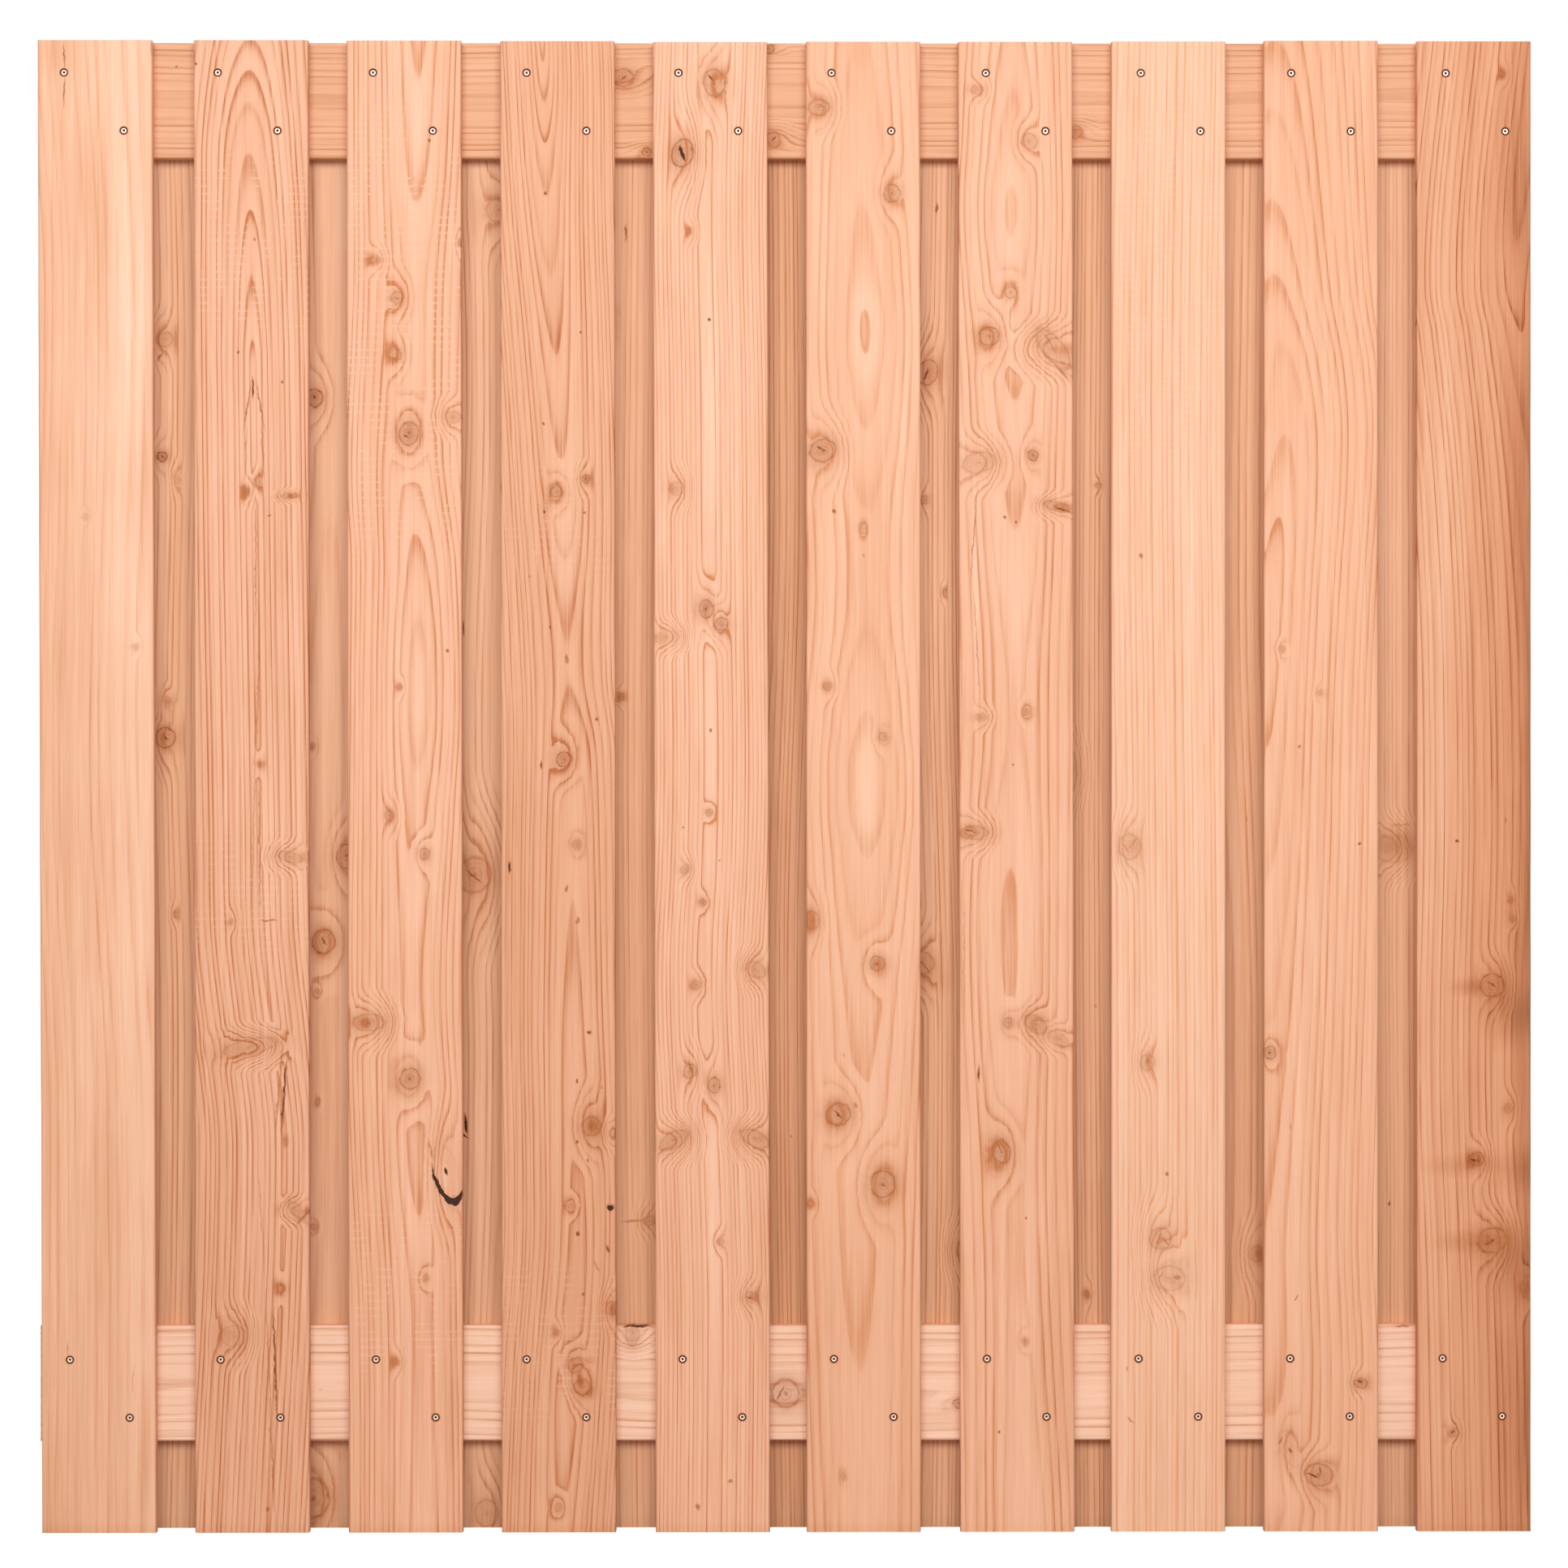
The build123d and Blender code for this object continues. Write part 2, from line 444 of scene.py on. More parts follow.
zone = fade(tree, maths(tree, "DIVIDE", from_middle, come["Half length"]), 0.6, 1.1, 1.0, 0.0)
plug(tree, go["Marks"], maths(tree, "MULTIPLY", maths(tree, "MULTIPLY", bar, zone), come["Strength"]))

# %% [markdown]
# ## The colour of dry larch
# Early wood is pale salmon and late wood is tan. Fibres and patches only lighten or darken both, and red
# changes least, as in any ginger wood, so a tone works as a power of the colour would. Knots go to brown,
# and the deepest marks, bark and open splits, to nearly black. The sawn ends soak up more stain and are
# darker.

# %% The wood colour group
knot_brown = paint(176, 98, 44)
bark_black = paint(56, 27, 14)
inputs = [("Pale", "Color"), ("Line", "Color"), ("Late wood", "Float"), ("Tone", "Float"), ("Dark", "Float")]
inputs += [("Sawn end", "Float")]
tree, come, go = new_group("wood_colour", "ShaderNodeTree", inputs, [("Color", "Color")])
wood_colour = tree
wood = blend_colours(tree, come["Late wood"], come["Pale"], come["Line"])
lit = scaled(tree, wood, maths(tree, "ADD", come["Tone"], 1.0))
less_red = maths(tree, "MULTIPLY_ADD", come["Tone"], -0.5, 1.0)
more_blue = maths(tree, "MULTIPLY_ADD", come["Tone"], 0.45, 1.0)
toned = vectors(tree, "MULTIPLY", lit, joined(tree, X=less_red, Y=1.0, Z=more_blue))
browned = blend_colours(tree, maths(tree, "MINIMUM", come["Dark"], 0.95), toned, knot_brown)
blackened = blend_colours(tree, fade(tree, come["Dark"], 0.7, 1.25, 0.0, 1.0), browned, bark_black)
sawn = vectors(tree, "MULTIPLY", blackened, (0.66, 0.58, 0.5))
plug(tree, go["Color"], blend_colours(tree, come["Sawn end"], blackened, sawn))

# %% [markdown]
# ## One material for each length of wood
# Every board gets its own materials from the same groups: its ring width, heart line, colours, knots,
# specks and patches. Notes in pixels are turned into metres here. A board's length is split into four
# parts that differ only in which marks they hold, because a renderer works through every mark of a
# material at every point.

# %% From a note to a place on a piece
wobble = 0.004


def spot(look, pixel_x, pixel_y):
    """A noted pixel as a place in the piece, upright as its pattern is."""
    seen = on_panel(pixel_x, pixel_y, look["face"])
    if look["along_x"]:
        return Vector((seen.z, 0.0, -seen.x)) + Vector(look["shift"])
    return Vector((seen.x, 0.0, seen.z))


def shows(look, part, mark, reach):
    """Whether a mark, noted at its first two numbers, shows between the two heights of a part."""
    height = spot(look, *mark[:2]).z
    return part[0] < height + reach + wobble and height - reach - wobble < part[1]


def slant(half_width, half_height, turn):
    """The two directions of a turned oval, each divided by the oval's size that way."""
    angle = math.radians(turn)
    across = Vector((math.cos(angle), 0.0, math.sin(angle))) / half_width
    along = Vector((-math.sin(angle), 0.0, math.cos(angle))) / half_height
    return across, along


# %% Chain the knots
knot_width_reach = 1.7
knot_length_reach = 2.8
bend_inward = (-0.75, 0.0, 0.0)


def add_knots(tree, look, part, place, grain_place):
    """Every knot that shows: the bent place, the darkness, the rings' lift and the stir of the grain."""
    carried = (grain_place, 0.0, 0.0, 0.0)
    for mark in look["knots"]:
        pixel_x, pixel_y, radius, tall, turn, flow, darkness = mark
        radius = radius * pixel
        dark_reach = profile_end * max(tall, 1)
        if not shows(look, part, mark, radius * max(tall * flow * knot_length_reach, dark_reach)):
            continue
        across, along = slant(radius, radius * tall, turn)
        wide = 1 / (radius * flow * knot_width_reach)
        long = 1 / (radius * tall * flow * knot_length_reach)
        node = group_node(tree, knot, Grain_place=carried[0], Dark=carried[1], Lift=carried[2],
                          Stir=carried[3], Place=place, Centre=spot(look, pixel_x, pixel_y),
                          Across=across, Along=along, Reach=Vector((wide, 0.0, long)), Bend=bend_inward,
                          Rings=0.6 + radius * 1000 / look["ring"], Darkness=darkness)
        carried = tuple(node.outputs)
    return carried


# %% Chain the specks, the bark and the painted shadow rings round the screws


def add_specks(tree, look, part, place, dark):
    """Every speck that shows, over the darkness so far."""
    for mark in look["specks"]:
        pixel_x, pixel_y, half_width, half_height, turn, darkness = mark
        if not shows(look, part, mark, (half_width + half_height) * pixel * 1.5):
            continue
        across, along = slant(half_width * pixel, half_height * pixel, turn)
        dark = group_node(tree, speck, Dark=dark, Place=place, Centre=spot(look, pixel_x, pixel_y),
                          Across=across, Along=along, Darkness=darkness).outputs[0]
    return dark


def add_bark(tree, look, part, place, dark):
    """Every strip of bark that shows, over the darkness so far."""
    for mark in look["arcs"]:
        pixel_x, pixel_y, half_width, half_height, turn, facing, thickness, darkness = mark
        if not shows(look, part, mark, half_height * pixel * 1.5):
            continue
        across, along = slant(half_width * pixel, half_height * pixel, turn)
        heading = (math.cos(math.radians(facing)), math.sin(math.radians(facing)), 0.0)
        dark = group_node(tree, bark_arc, Dark=dark, Place=place, Centre=spot(look, pixel_x, pixel_y),
                          Across=across, Along=along, Facing=heading, Thickness=thickness,
                          Darkness=darkness).outputs[0]
    return dark


def add_shadow_and_crushed_rings(tree, look, part, place, dark):
    """A painted shadow ring round every screw head in this part, over the darkness so far."""
    for mark in look["screws"]:
        if part[0] < mark.z < part[1]:
            dark = group_node(tree, shadow_and_crushed_ring, Dark=dark, Place=place, Centre=mark,
                              Radius=head_radius).outputs[0]
    return dark


# %% Chain the patches and the planing marks


def add_patches(tree, look, part, place, tone):
    """Every patch that shows, over the tone so far."""
    for mark in look["patches"]:
        pixel_x, pixel_y, half_width, half_height, shade = mark
        if not shows(look, part, mark, half_height * pixel * 1.5):
            continue
        reach = Vector((1 / (half_width * pixel), 0.0, 1 / (half_height * pixel)))
        tone = group_node(tree, patch, Tone=tone, Place=place, Centre=spot(look, pixel_x, pixel_y),
                          Reach=reach, Shade=shade).outputs[0]
    return tone


def add_planing(tree, look, place, late, tone):
    """The planer's bars in every planed zone, which fade the dark lines and brighten the wood."""
    for pixel_top, pixel_bottom, strength in look["planed"]:
        top = spot(look, look["heart"][0][0], pixel_top).z
        bottom = spot(look, look["heart"][0][0], pixel_bottom).z
        marks = group_node(tree, planing, Place=place, Middle=(top + bottom) / 2,
                           Half_length=(top - bottom) / 2, Strength=strength).outputs[0]
        late = maths(tree, "MULTIPLY", late, maths(tree, "MULTIPLY_ADD", marks, -0.6, 1.0))
        tone = maths(tree, "MULTIPLY_ADD", marks, 0.05, tone)
    return late, tone


# %% [markdown]
# ## The heart line
# Where the rings lie depends on the heart of the tree. Its line is drawn with two curves over the length
# of the board: how far to the side it runs, and how deep behind the face.

# %% Draw the heart line
side_span = 0.4
depth_span = 0.16


def heart_curves(tree, length_share, look):
    """The heart line's place across the board and its depth, from the noted points."""
    sides = []
    depths = []
    for pixel_x, pixel_y, depth in look["heart"]:
        place = spot(look, pixel_x, pixel_y)
        share = min(max(place.z / panel_height, 0.0), 1.0)
        sides.append((share, (place.x - look["middle"]) / side_span + 0.5))
        depths.append((share, depth / 1000 / depth_span))
    side = curve(tree, length_share, sorted(sides))
    side = maths(tree, "MULTIPLY_ADD", side, side_span, look["middle"] - side_span / 2)
    return side, maths(tree, "MULTIPLY", curve(tree, length_share, sorted(depths)), depth_span)


def grain(tree, look, length_share, place, carried, fibre, seed):
    """The dark lines of the rings, and the tone that changes from ring to ring."""
    grain_place, dark, lift, stir = carried
    side, depth = heart_curves(tree, length_share, look)
    rings = group_node(tree, growth_rings, Place=grain_place, Heart=side, Depth=depth,
                       Ring_width=look["ring"] / 1000, Waviness=look["waves"] / 1000,
                       Unevenness=look["uneven"], Lift=lift, Seed=seed)
    late = maths(tree, "MULTIPLY", rings.outputs["Late wood"], look["contrast"])
    late = maths(tree, "MULTIPLY", late, maths(tree, "MULTIPLY_ADD", stir, 0.4, 1.0))
    late = maths(tree, "MULTIPLY", late, maths(tree, "MULTIPLY_ADD", fibre, -1.6, 1.0))
    return late, maths(tree, "MULTIPLY", rings.outputs["Ring tone"], look["ring_tone"] * 1.5)


# %% [markdown]
# ## Putting a material together
# Marks are never clean ovals, so they read a place that a fine noise has stirred. The sides and rounded
# long edges get a painted shade, the tone darkens towards the foot as a painted shade, the foot has drawn
# up some damp, and the side of a front board that faces the back row has the back row's darker colour, a
# painted shade for where it shows in the gaps from behind.

# %% The wood material
gap_pale = paint(238, 186, 149)
gap_line = paint(203, 137, 94)
half_thickness = 0.008
# a painted shade on the sides and rounded edges: how far in from a face it starts, and how dark it is
painted_edge_shade_band = 0.0022
painted_edge_shade_band_tone = -0.16
rim_of_end = 0.0004
damp_share = 0.01
stir_x = 0.005
stir_z = 0.006
fibre_tone = 0.28
fibre_roughness = 0.12
plain_roughness = 0.62


def shaded_tone(tree, look, axes, length_share, tone):
    """The tone with painted shade on the sides and rounded edges and towards the foot, and the damp foot."""
    core = look["face"] + half_thickness
    from_core = maths(tree, "ABSOLUTE", maths(tree, "SUBTRACT", axes["Y"], core))
    # painted shade: the sides and rounded edges are darker than the faces
    edge = fade(tree, from_core, half_thickness - painted_edge_shade_band, half_thickness - 0.0002, 1.0, 0.0)
    tone = maths(tree, "MULTIPLY_ADD", edge, painted_edge_shade_band_tone, tone)
    # painted shade: the tone darkens towards the foot, as under light from above; the same amount darkens
    # the damp foot
    shade = fade(tree, length_share, 0.0, look["foot_fade"], look["foot_shade"], 0.0)
    damp = fade(tree, length_share, 0.0, damp_share, look["foot_shade"], 0.0)
    return maths(tree, "ADD", maths(tree, "ADD", tone, shade), damp)


def sawn_ends(tree, look, axes):
    """1 on the two sawn ends and 0 between them."""
    low_end, high_end = look["ends"]
    middle = (low_end + high_end) / 2
    half_length = (high_end - low_end) / 2
    from_middle = maths(tree, "ABSOLUTE", maths(tree, "SUBTRACT", axes["Z"], middle))
    return fade(tree, from_middle, half_length - rim_of_end, half_length - rim_of_end / 4, 0.0, 1.0)


def wood_material(name, look, part):
    """Planed wood with everything that was noted about a piece between the two heights of a part."""
    material = bpy.data.materials.new(name)
    material.use_nodes = True
    tree = material.node_tree
    shader = tree.nodes["Principled BSDF"]
    seed = Vector((look["seed"] * 1.7, look["seed"] * 3.1, look["seed"] * 2.3))
    place = put(tree, "ShaderNodeTexCoord").outputs["Object"]
    if look["along_x"]:
        turn_upright = {"Vector": place, "Rotation": (0.0, math.pi / 2, 0.0), "Location": look["shift"]}
        place = put(tree, "ShaderNodeMapping", sockets=turn_upright).outputs[0]
    axes = split(tree, place)
    length_share = maths(tree, "DIVIDE", axes["Z"], panel_height)
    rough_place = vectors(tree, "MULTIPLY", place, (130.0, 130.0, 110.0))
    rough = put(tree, "ShaderNodeTexNoise", sockets={"Vector": rough_place, "Scale": 1.0, "Detail": 2.0})
    stirred = vectors(tree, "MULTIPLY_ADD", rough.outputs[1], (stir_x, 0.0, stir_z), place)
    stirred = vectors(tree, "SUBTRACT", stirred, (stir_x / 2, 0.0, stir_z / 2))
    stirred = vectors(tree, "MULTIPLY", stirred, (1.0, 0.0, 1.0))
    grain_place = vectors(tree, "SUBTRACT", place, (0.0, look["face"], 0.0))
    fibre, cloud, relief = group_node(tree, fibres, Place=place, Seed=seed).outputs
    carried = add_knots(tree, look, part, stirred, grain_place)
    dark = add_specks(tree, look, part, stirred, carried[1])
    dark = add_bark(tree, look, part, stirred, dark)
    dark = maths(tree, "MULTIPLY", dark, maths(tree, "MULTIPLY_ADD", rough.outputs[0], 0.9, 0.58))
    dark = add_shadow_and_crushed_rings(tree, look, part, place, dark)
    late, ring_tone = grain(tree, look, length_share, place, carried, fibre, seed)
    tone = maths(tree, "MULTIPLY", cloud, look["cloud"] * 1.6)
    tone = add_patches(tree, look, part, stirred, tone)
    tone = maths(tree, "ADD", maths(tree, "MULTIPLY_ADD", carried[3], -0.05, tone), ring_tone)
    tone = maths(tree, "MULTIPLY_ADD", fibre, fibre_tone, tone)
    late, tone = add_planing(tree, look, place, late, tone)
    tone = shaded_tone(tree, look, axes, length_share, tone)
    pale = look["pale"]
    line = look["line"]
    # painted shade: the rear half of a front board takes the back row's darker colours, for where it shows
    # in the gaps from behind
    if look["face"] == front_face:
        behind = maths(tree, "GREATER_THAN", axes["Y"], look["face"] + half_thickness)
        pale = blend_colours(tree, behind, pale, gap_pale)
        line = blend_colours(tree, behind, line, gap_line)
    colour = group_node(tree, wood_colour, Pale=pale, Line=line, Late_wood=late, Tone=tone, Dark=dark,
                        Sawn_end=sawn_ends(tree, look, axes))
    plug(tree, shader.inputs["Base Color"], colour.outputs[0])
    roughness = maths(tree, "MULTIPLY_ADD", fibre, fibre_roughness, plain_roughness)
    plug(tree, shader.inputs["Roughness"], roughness)
    shader.inputs["Specular IOR Level"].default_value = 0.25
    bump = put(tree, "ShaderNodeBump", sockets={"Height": relief, "Strength": 0.35, "Distance": 0.0006})
    plug(tree, shader.inputs["Normal"], bump.outputs[0])
    return material


# %% [markdown]
# ## Notes on the front boards
# These are the notes from the photograph, board by board from the left. After a name come the colours of
# its early and late wood and the width of a ring in mm. A heart point is (x, y, depth in mm). A knot is
# (x, y, radius, height over width, turn in degrees, how far the grain bends, darkness), a speck is (x, y,
# half width, half height, turn, darkness), an arc of bark is (x, y, half width, half height, turn, way it
# faces, thickness, darkness) and a patch is (x, y, half width, half height, shade). A planed zone is
# (top, bottom, strength). All places and sizes of marks are pixels of the photograph.

# %% Keep the notes
looks = {}
faces = {"front": front_face, "back": back_face}
rail_shift = 0.9


# foot_shade sets a painted shade towards the foot, and also the darkness of the damp foot
def note(name, pale, line, ring, heart, knots=(), specks=(), arcs=(), patches=(), planed=(), waves=6.0,
         uneven=1.6, contrast=0.9, cloud=0.1, ring_tone=0.14, foot_shade=-0.09):
    """Write down one piece's look under its node's name."""
    low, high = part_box(name)
    row = name.split("_")[0]
    along_x = name.endswith("rail")
    rows = [f"{row}_screws_top", f"{row}_screws_bottom"]
    marks = [mark for row_name in rows for mark in row_marks.get(row_name, [])]
    looks[name] = {
        "face": faces.get(row, rail_face),
        "middle": (low.z + high.z) / 2 if along_x else (low.x + high.x) / 2,
        "ends": (rail_shift + low.x, rail_shift + high.x) if along_x else (low.z, high.z),
        "along_x": along_x,
        "shift": (0.0, 0.0, rail_shift if along_x else 0.0),
        "screws": [mark for mark in marks if low.x < mark.x < high.x],
        "seed": len(looks) + 1 + along_x,
        "pale": pale,
        "line": line,
        "ring": ring,
        "heart": heart,
        "knots": knots,
        "specks": specks,
        "arcs": arcs,
        "patches": patches,
        "planed": planed,
        "waves": waves,
        "uneven": uneven,
        "contrast": contrast,
        "cloud": cloud,
        "ring_tone": ring_tone,
        "foot_shade": 0.0 if along_x else foot_shade,
        "foot_fade": 0.85,
    }
    print(name, len(knots), "knots,", len(specks), "specks")


# %% Front boards 1 to 3
note("front_board_1", paint(252, 196, 161), paint(228, 152, 104), 13,
     heart=((215, 50, 62), (240, 400, 52), (225, 900, 60), (250, 1400, 48), (245, 1889, 56)),
     knots=((106, 637, 3.5, 1, 0, 1.8, 0.3), (168, 797, 4, 1, 0, 1.8, 0.35)),
     specks=((79, 70, 0.8, 15, 2, 0.8), (79, 114, 0.8, 17, -3, 0.8), (83, 1662, 0.7, 7, 0, 0.6),
             (186, 60, 0.8, 9, 0, 0.5), (164, 1700, 0.7, 14, -4, 0.3)),
     patches=((160, 380, 28, 190, 0.13), (145, 700, 20, 120, 0.12), (172, 760, 14, 90, 0.1),
              (178, 1790, 9, 120, -0.2), (75, 1200, 22, 400, -0.06), (68, 400, 18, 300, -0.08),
              (120, 110, 60, 80, 0.05), (72, 66, 30, 34, -0.12)),
     waves=13, uneven=2.4, contrast=0.42, cloud=0.22, ring_tone=0.3)
note("front_board_2", paint(249, 189, 154), paint(204, 122, 74), 6.4,
     heart=((308, 50, 44), (306, 125, 33), (306, 166, 27), (308, 240, 20), (311, 400, 7), (312, 470, 1),
            (315, 700, 2), (320, 1000, 3), (322, 1140, 2), (338, 1290, 4), (350, 1420, 2), (346, 1600, 3),
            (338, 1750, 2), (331, 1889, 4)),
     knots=((317, 594, 4, 1.2, 0, 2.2, 0.75), (304, 606, 4, 1.2, 0, 2.2, 0.75),
            (357, 611, 11, 0.3, 5, 1.4, 0.6), (320, 942, 3.5, 1, 0, 2.5, 0.5),
            (357, 1056, 15, 0.42, -12, 1.6, 0.6), (285, 1135, 3, 1, 0, 3, 0.6),
            (308, 1290, 34, 0.28, 12, 1.3, 0.5), (346, 1588, 4, 1, 0, 2.5, 0.5),
            (288, 1646, 16, 0.8, 0, 1.5, 0.4), (366, 1492, 15, 0.4, -50, 1.5, 0.5)),
     specks=((242, 79, 1.3, 2, 0, 0.9), (313, 294, 1.3, 2, 0, 0.9), (294, 434, 1.1, 2, 0, 0.8),
             (348, 471, 1.4, 2, 0, 0.8), (332, 635, 3, 1.4, 10, 0.7), (312, 478, 1.2, 13, 0, 0.95),
             (305, 500, 0.9, 28, -9, 0.75), (321, 500, 0.9, 28, 10, 0.75), (303, 560, 0.8, 34, -2, 0.55),
             (324, 560, 0.8, 34, 3, 0.55), (315, 690, 0.9, 70, 0, 0.6), (318, 850, 0.9, 80, -2, 0.55),
             (320, 1040, 1.1, 80, 0, 0.65), (313, 1000, 0.8, 100, -1, 0.45), (331, 1134, 9, 1.3, 2, 0.7),
             (350, 1350, 1.6, 46, -4, 0.95), (344, 1340, 1.2, 60, -5, 0.6), (352, 1406, 3.5, 8, 0, 0.5),
             (374, 1500, 2, 12, -40, 0.7), (339, 1680, 1.5, 72, 2, 0.9), (332, 1690, 0.9, 80, 3, 0.5),
             (335, 1790, 1, 70, 3, 0.6), (330, 1859, 2, 3, 0, 0.8), (322, 1500, 0.9, 60, 4, 0.4)),
     patches=((310, 1000, 60, 120, 0.03), (275, 1500, 40, 260, -0.05), (310, 1700, 70, 200, -0.04)),
     planed=((170, 420, 0.8), (1000, 1190, 0.5)),
     waves=4.5, contrast=1, uneven=1.8, cloud=0.12, ring_tone=0.2)
note("front_board_3", paint(253, 194, 159), paint(217, 136, 89), 5.8,
     heart=((516, 50, 34), (514, 200, 38), (510, 360, 44), (505, 560, 40), (514, 700, 32), (515, 860, 26),
            (512, 1000, 32), (507, 1218, 38), (512, 1400, 33), (520, 1640, 38), (522, 1889, 36)),
     knots=((462, 320, 7, 0.7, 0, 2, 0.6), (489, 367, 7.5, 1, 0, 2.4, 0.75), (488, 437, 7, 1, 0, 2.4, 0.65),
            (504, 534, 12, 1.15, -10, 1.9, 0.85), (558, 514, 10, 0.7, 0, 1.8, 0.55),
            (567, 299, 3, 1.5, 0, 2.2, 0.8), (493, 847, 3, 1, 0, 2.4, 0.6),
            (480, 1005, 5.5, 1.1, 0, 2.2, 0.75), (523, 1052, 6, 1.1, 0, 2.2, 0.8),
            (454, 1260, 19, 0.55, 0, 1.6, 0.65), (505, 1329, 12, 1.1, 0, 1.9, 0.85),
            (550, 1444, 15, 2.3, 17, 1.2, 0.2), (525, 1575, 4, 1, 0, 2.2, 0.5),
            (488, 1678, 4, 1, 0, 2.4, 0.5)),
     specks=((529, 173, 2, 2.4, 0, 0.85), (551, 802, 2.2, 2, 0, 0.85), (510, 220, 1, 1, 0, 0.6),
             (550, 1444, 1.6, 5, 17, 1.2), (531, 1417, 1.4, 12, 12, 0.6), (568, 1475, 1.2, 8, -14, 1.1),
             (500, 537, 1.2, 5, 60, 0.9), (489, 367, 1, 3, 80, 0.9)),
     arcs=((550, 1444, 16, 38, 17, 236, 0.13, 1.5),),
     patches=((516, 190, 15, 170, 0.1), (515, 860, 9, 90, 0.16), (507, 1130, 14, 100, 0.05),
              (549, 1448, 10, 18, 0.16), (440, 500, 20, 300, 0.03), (548, 1640, 30, 160, -0.05)),
     planed=((110, 700, 0.9), (1480, 1700, 0.8)),
     waves=4.5, contrast=0.85, uneven=1.4, cloud=0.1)

# %% Front boards 4 to 7
note("front_board_4", paint(244, 182, 145), paint(201, 120, 72), 4.9,
     heart=((668, 50, 1), (670, 92, 6), (673, 206, 17), (676, 280, 22), (684, 410, 29), (694, 615, 36),
            (700, 825, 44), (706, 940, 38), (706, 1200, 33), (712, 1500, 28), (700, 1700, 26),
            (690, 1889, 30)),
     knots=((686, 606, 7, 1, 0, 2.2, 0.85), (722, 590, 5, 1, 0, 2.2, 1), (695, 936, 9, 1, 0, 2.2, 1),
            (711, 1041, 5, 1.2, 20, 2, 0.6), (729, 1388, 11, 1.1, 0, 2, 0.9),
            (709, 1682, 9, 1, 0, 1.9, 0.8), (717, 1709, 10, 0.9, 0, 1.9, 0.8),
            (688, 1857, 5, 1, 0, 2.2, 0.6), (704, 1486, 4, 1, 0, 2.2, 0.7), (756, 1397, 6, 1, 0, 1.8, 0.5),
            (754, 1612, 7, 1.2, 0, 1.8, 0.7), (685, 1642, 4, 1, 0, 2.2, 0.75)),
     specks=((672, 238, 2, 2, 0, 0.9), (716, 410, 1.4, 1.6, 0, 0.8), (670, 522, 1.4, 1.8, 0, 0.8),
             (671, 631, 1.6, 1.8, 0, 0.9), (720, 632, 1.5, 1.6, 0, 0.8), (652, 710, 1.2, 2, 0, 0.8),
             (678, 773, 1.3, 2, 0, 0.9), (698, 812, 2.4, 5.5, 0, 0.75), (735, 886, 1.8, 2.4, 0, 0.9),
             (667, 942, 1.3, 5, 0, 0.9), (628, 1069, 1.6, 7, 0, 1.1), (698, 1095, 1.8, 4.6, 0, 0.8),
             (712, 1134, 2.4, 4, 0, 0.7), (726, 1272, 2.6, 2.6, 0, 0.9), (711, 1332, 1.6, 2.4, 0, 0.9),
             (711, 1407, 1.6, 2, 0, 0.9), (724, 1430, 1.2, 2, 0, 0.8), (752, 1488, 4.4, 4, -30, 1.4),
             (712, 1520, 2, 2.4, 0, 0.9), (749, 1539, 1.8, 5, 20, 0.9), (719, 1594, 1.8, 2, 0, 0.8),
             (741, 1340, 1.2, 2, 0, 0.7), (735, 1560, 1, 8, 30, 0.6)),
     patches=((695, 640, 22, 190, 0.07), (705, 840, 10, 80, 0.08), (720, 1500, 50, 260, -0.05),
              (640, 1150, 22, 300, -0.05), (680, 350, 24, 300, -0.03)),
     planed=((560, 720, 0.5), (1550, 1760, 0.8)),
     waves=4, contrast=0.85, uneven=1.5, cloud=0.1)
note("front_board_5", paint(254, 197, 163), paint(220, 140, 92), 4.8,
     heart=((874, 50, 10.4), (868, 250, 10.4), (872, 480, 10.4), (874, 760, 10.4), (876, 950, 10.4),
            (874, 1060, 10.4), (868, 1200, 10.4), (876, 1400, 10.4), (882, 1640, 10.4), (880, 1889, 10.4)),
     knots=((880, 102, 13, 1.3, 10, 1.7, 0.75), (841, 189, 13, 1.35, -12, 1.8, 0.95),
            (849, 285, 4, 1, 0, 2.3, 0.6), (834, 602, 9, 0.9, 20, 1.8, 0.5), (870, 750, 9, 1.2, 0, 2, 0.9),
            (889, 769, 8, 1, 0, 2, 0.9), (822, 785, 15, 0.5, 8, 1.5, 0.35), (874, 1001, 4, 1, 0, 2.2, 0.85),
            (844, 1071, 6, 0.8, 30, 2, 0.6), (866, 1112, 4, 1, 0, 2.2, 0.85),
            (858, 1214, 6, 0.9, 30, 2, 0.65), (931, 1195, 13, 0.7, -30, 1.5, 0.6),
            (850, 1320, 8, 1.1, 0, 2, 0.75), (880, 1337, 7, 1.4, 0, 2.1, 0.85),
            (830, 1405, 19, 0.5, 28, 1.5, 0.65), (930, 1403, 19, 0.5, -28, 1.5, 0.65),
            (888, 1530, 4, 1, 0, 2.4, 0.6), (926, 1598, 9, 0.7, 0, 2, 0.6)),
     specks=((874, 394, 2, 2.4, 0, 0.95), (875, 900, 1.6, 2, 0, 0.95), (841, 189, 2.2, 12, 18, 1.1),
             (876, 96, 1.2, 6, 40, 0.9), (887, 1340, 1.2, 1.4, 0, 0.9), (842, 1020, 1.1, 1.3, 0, 0.6),
             (900, 1825, 3, 2.2, 30, 0.7), (860, 1857, 2.4, 4, 20, 0.7), (925, 1600, 1.2, 6, 70, 0.8),
             (852, 1318, 1, 6, 30, 0.9), (887, 1060, 1, 2, 0, 0.5)),
     patches=((876, 480, 10, 200, 0.16), (876, 900, 9, 150, 0.16), (878, 1560, 9, 200, 0.1),
              (832, 800, 16, 40, 0.06), (876, 1410, 12, 50, 0.06), (830, 1560, 20, 200, -0.03),
              (920, 250, 16, 220, 0.03)),
     waves=2.4, contrast=0.9, uneven=0.7, cloud=0.1)
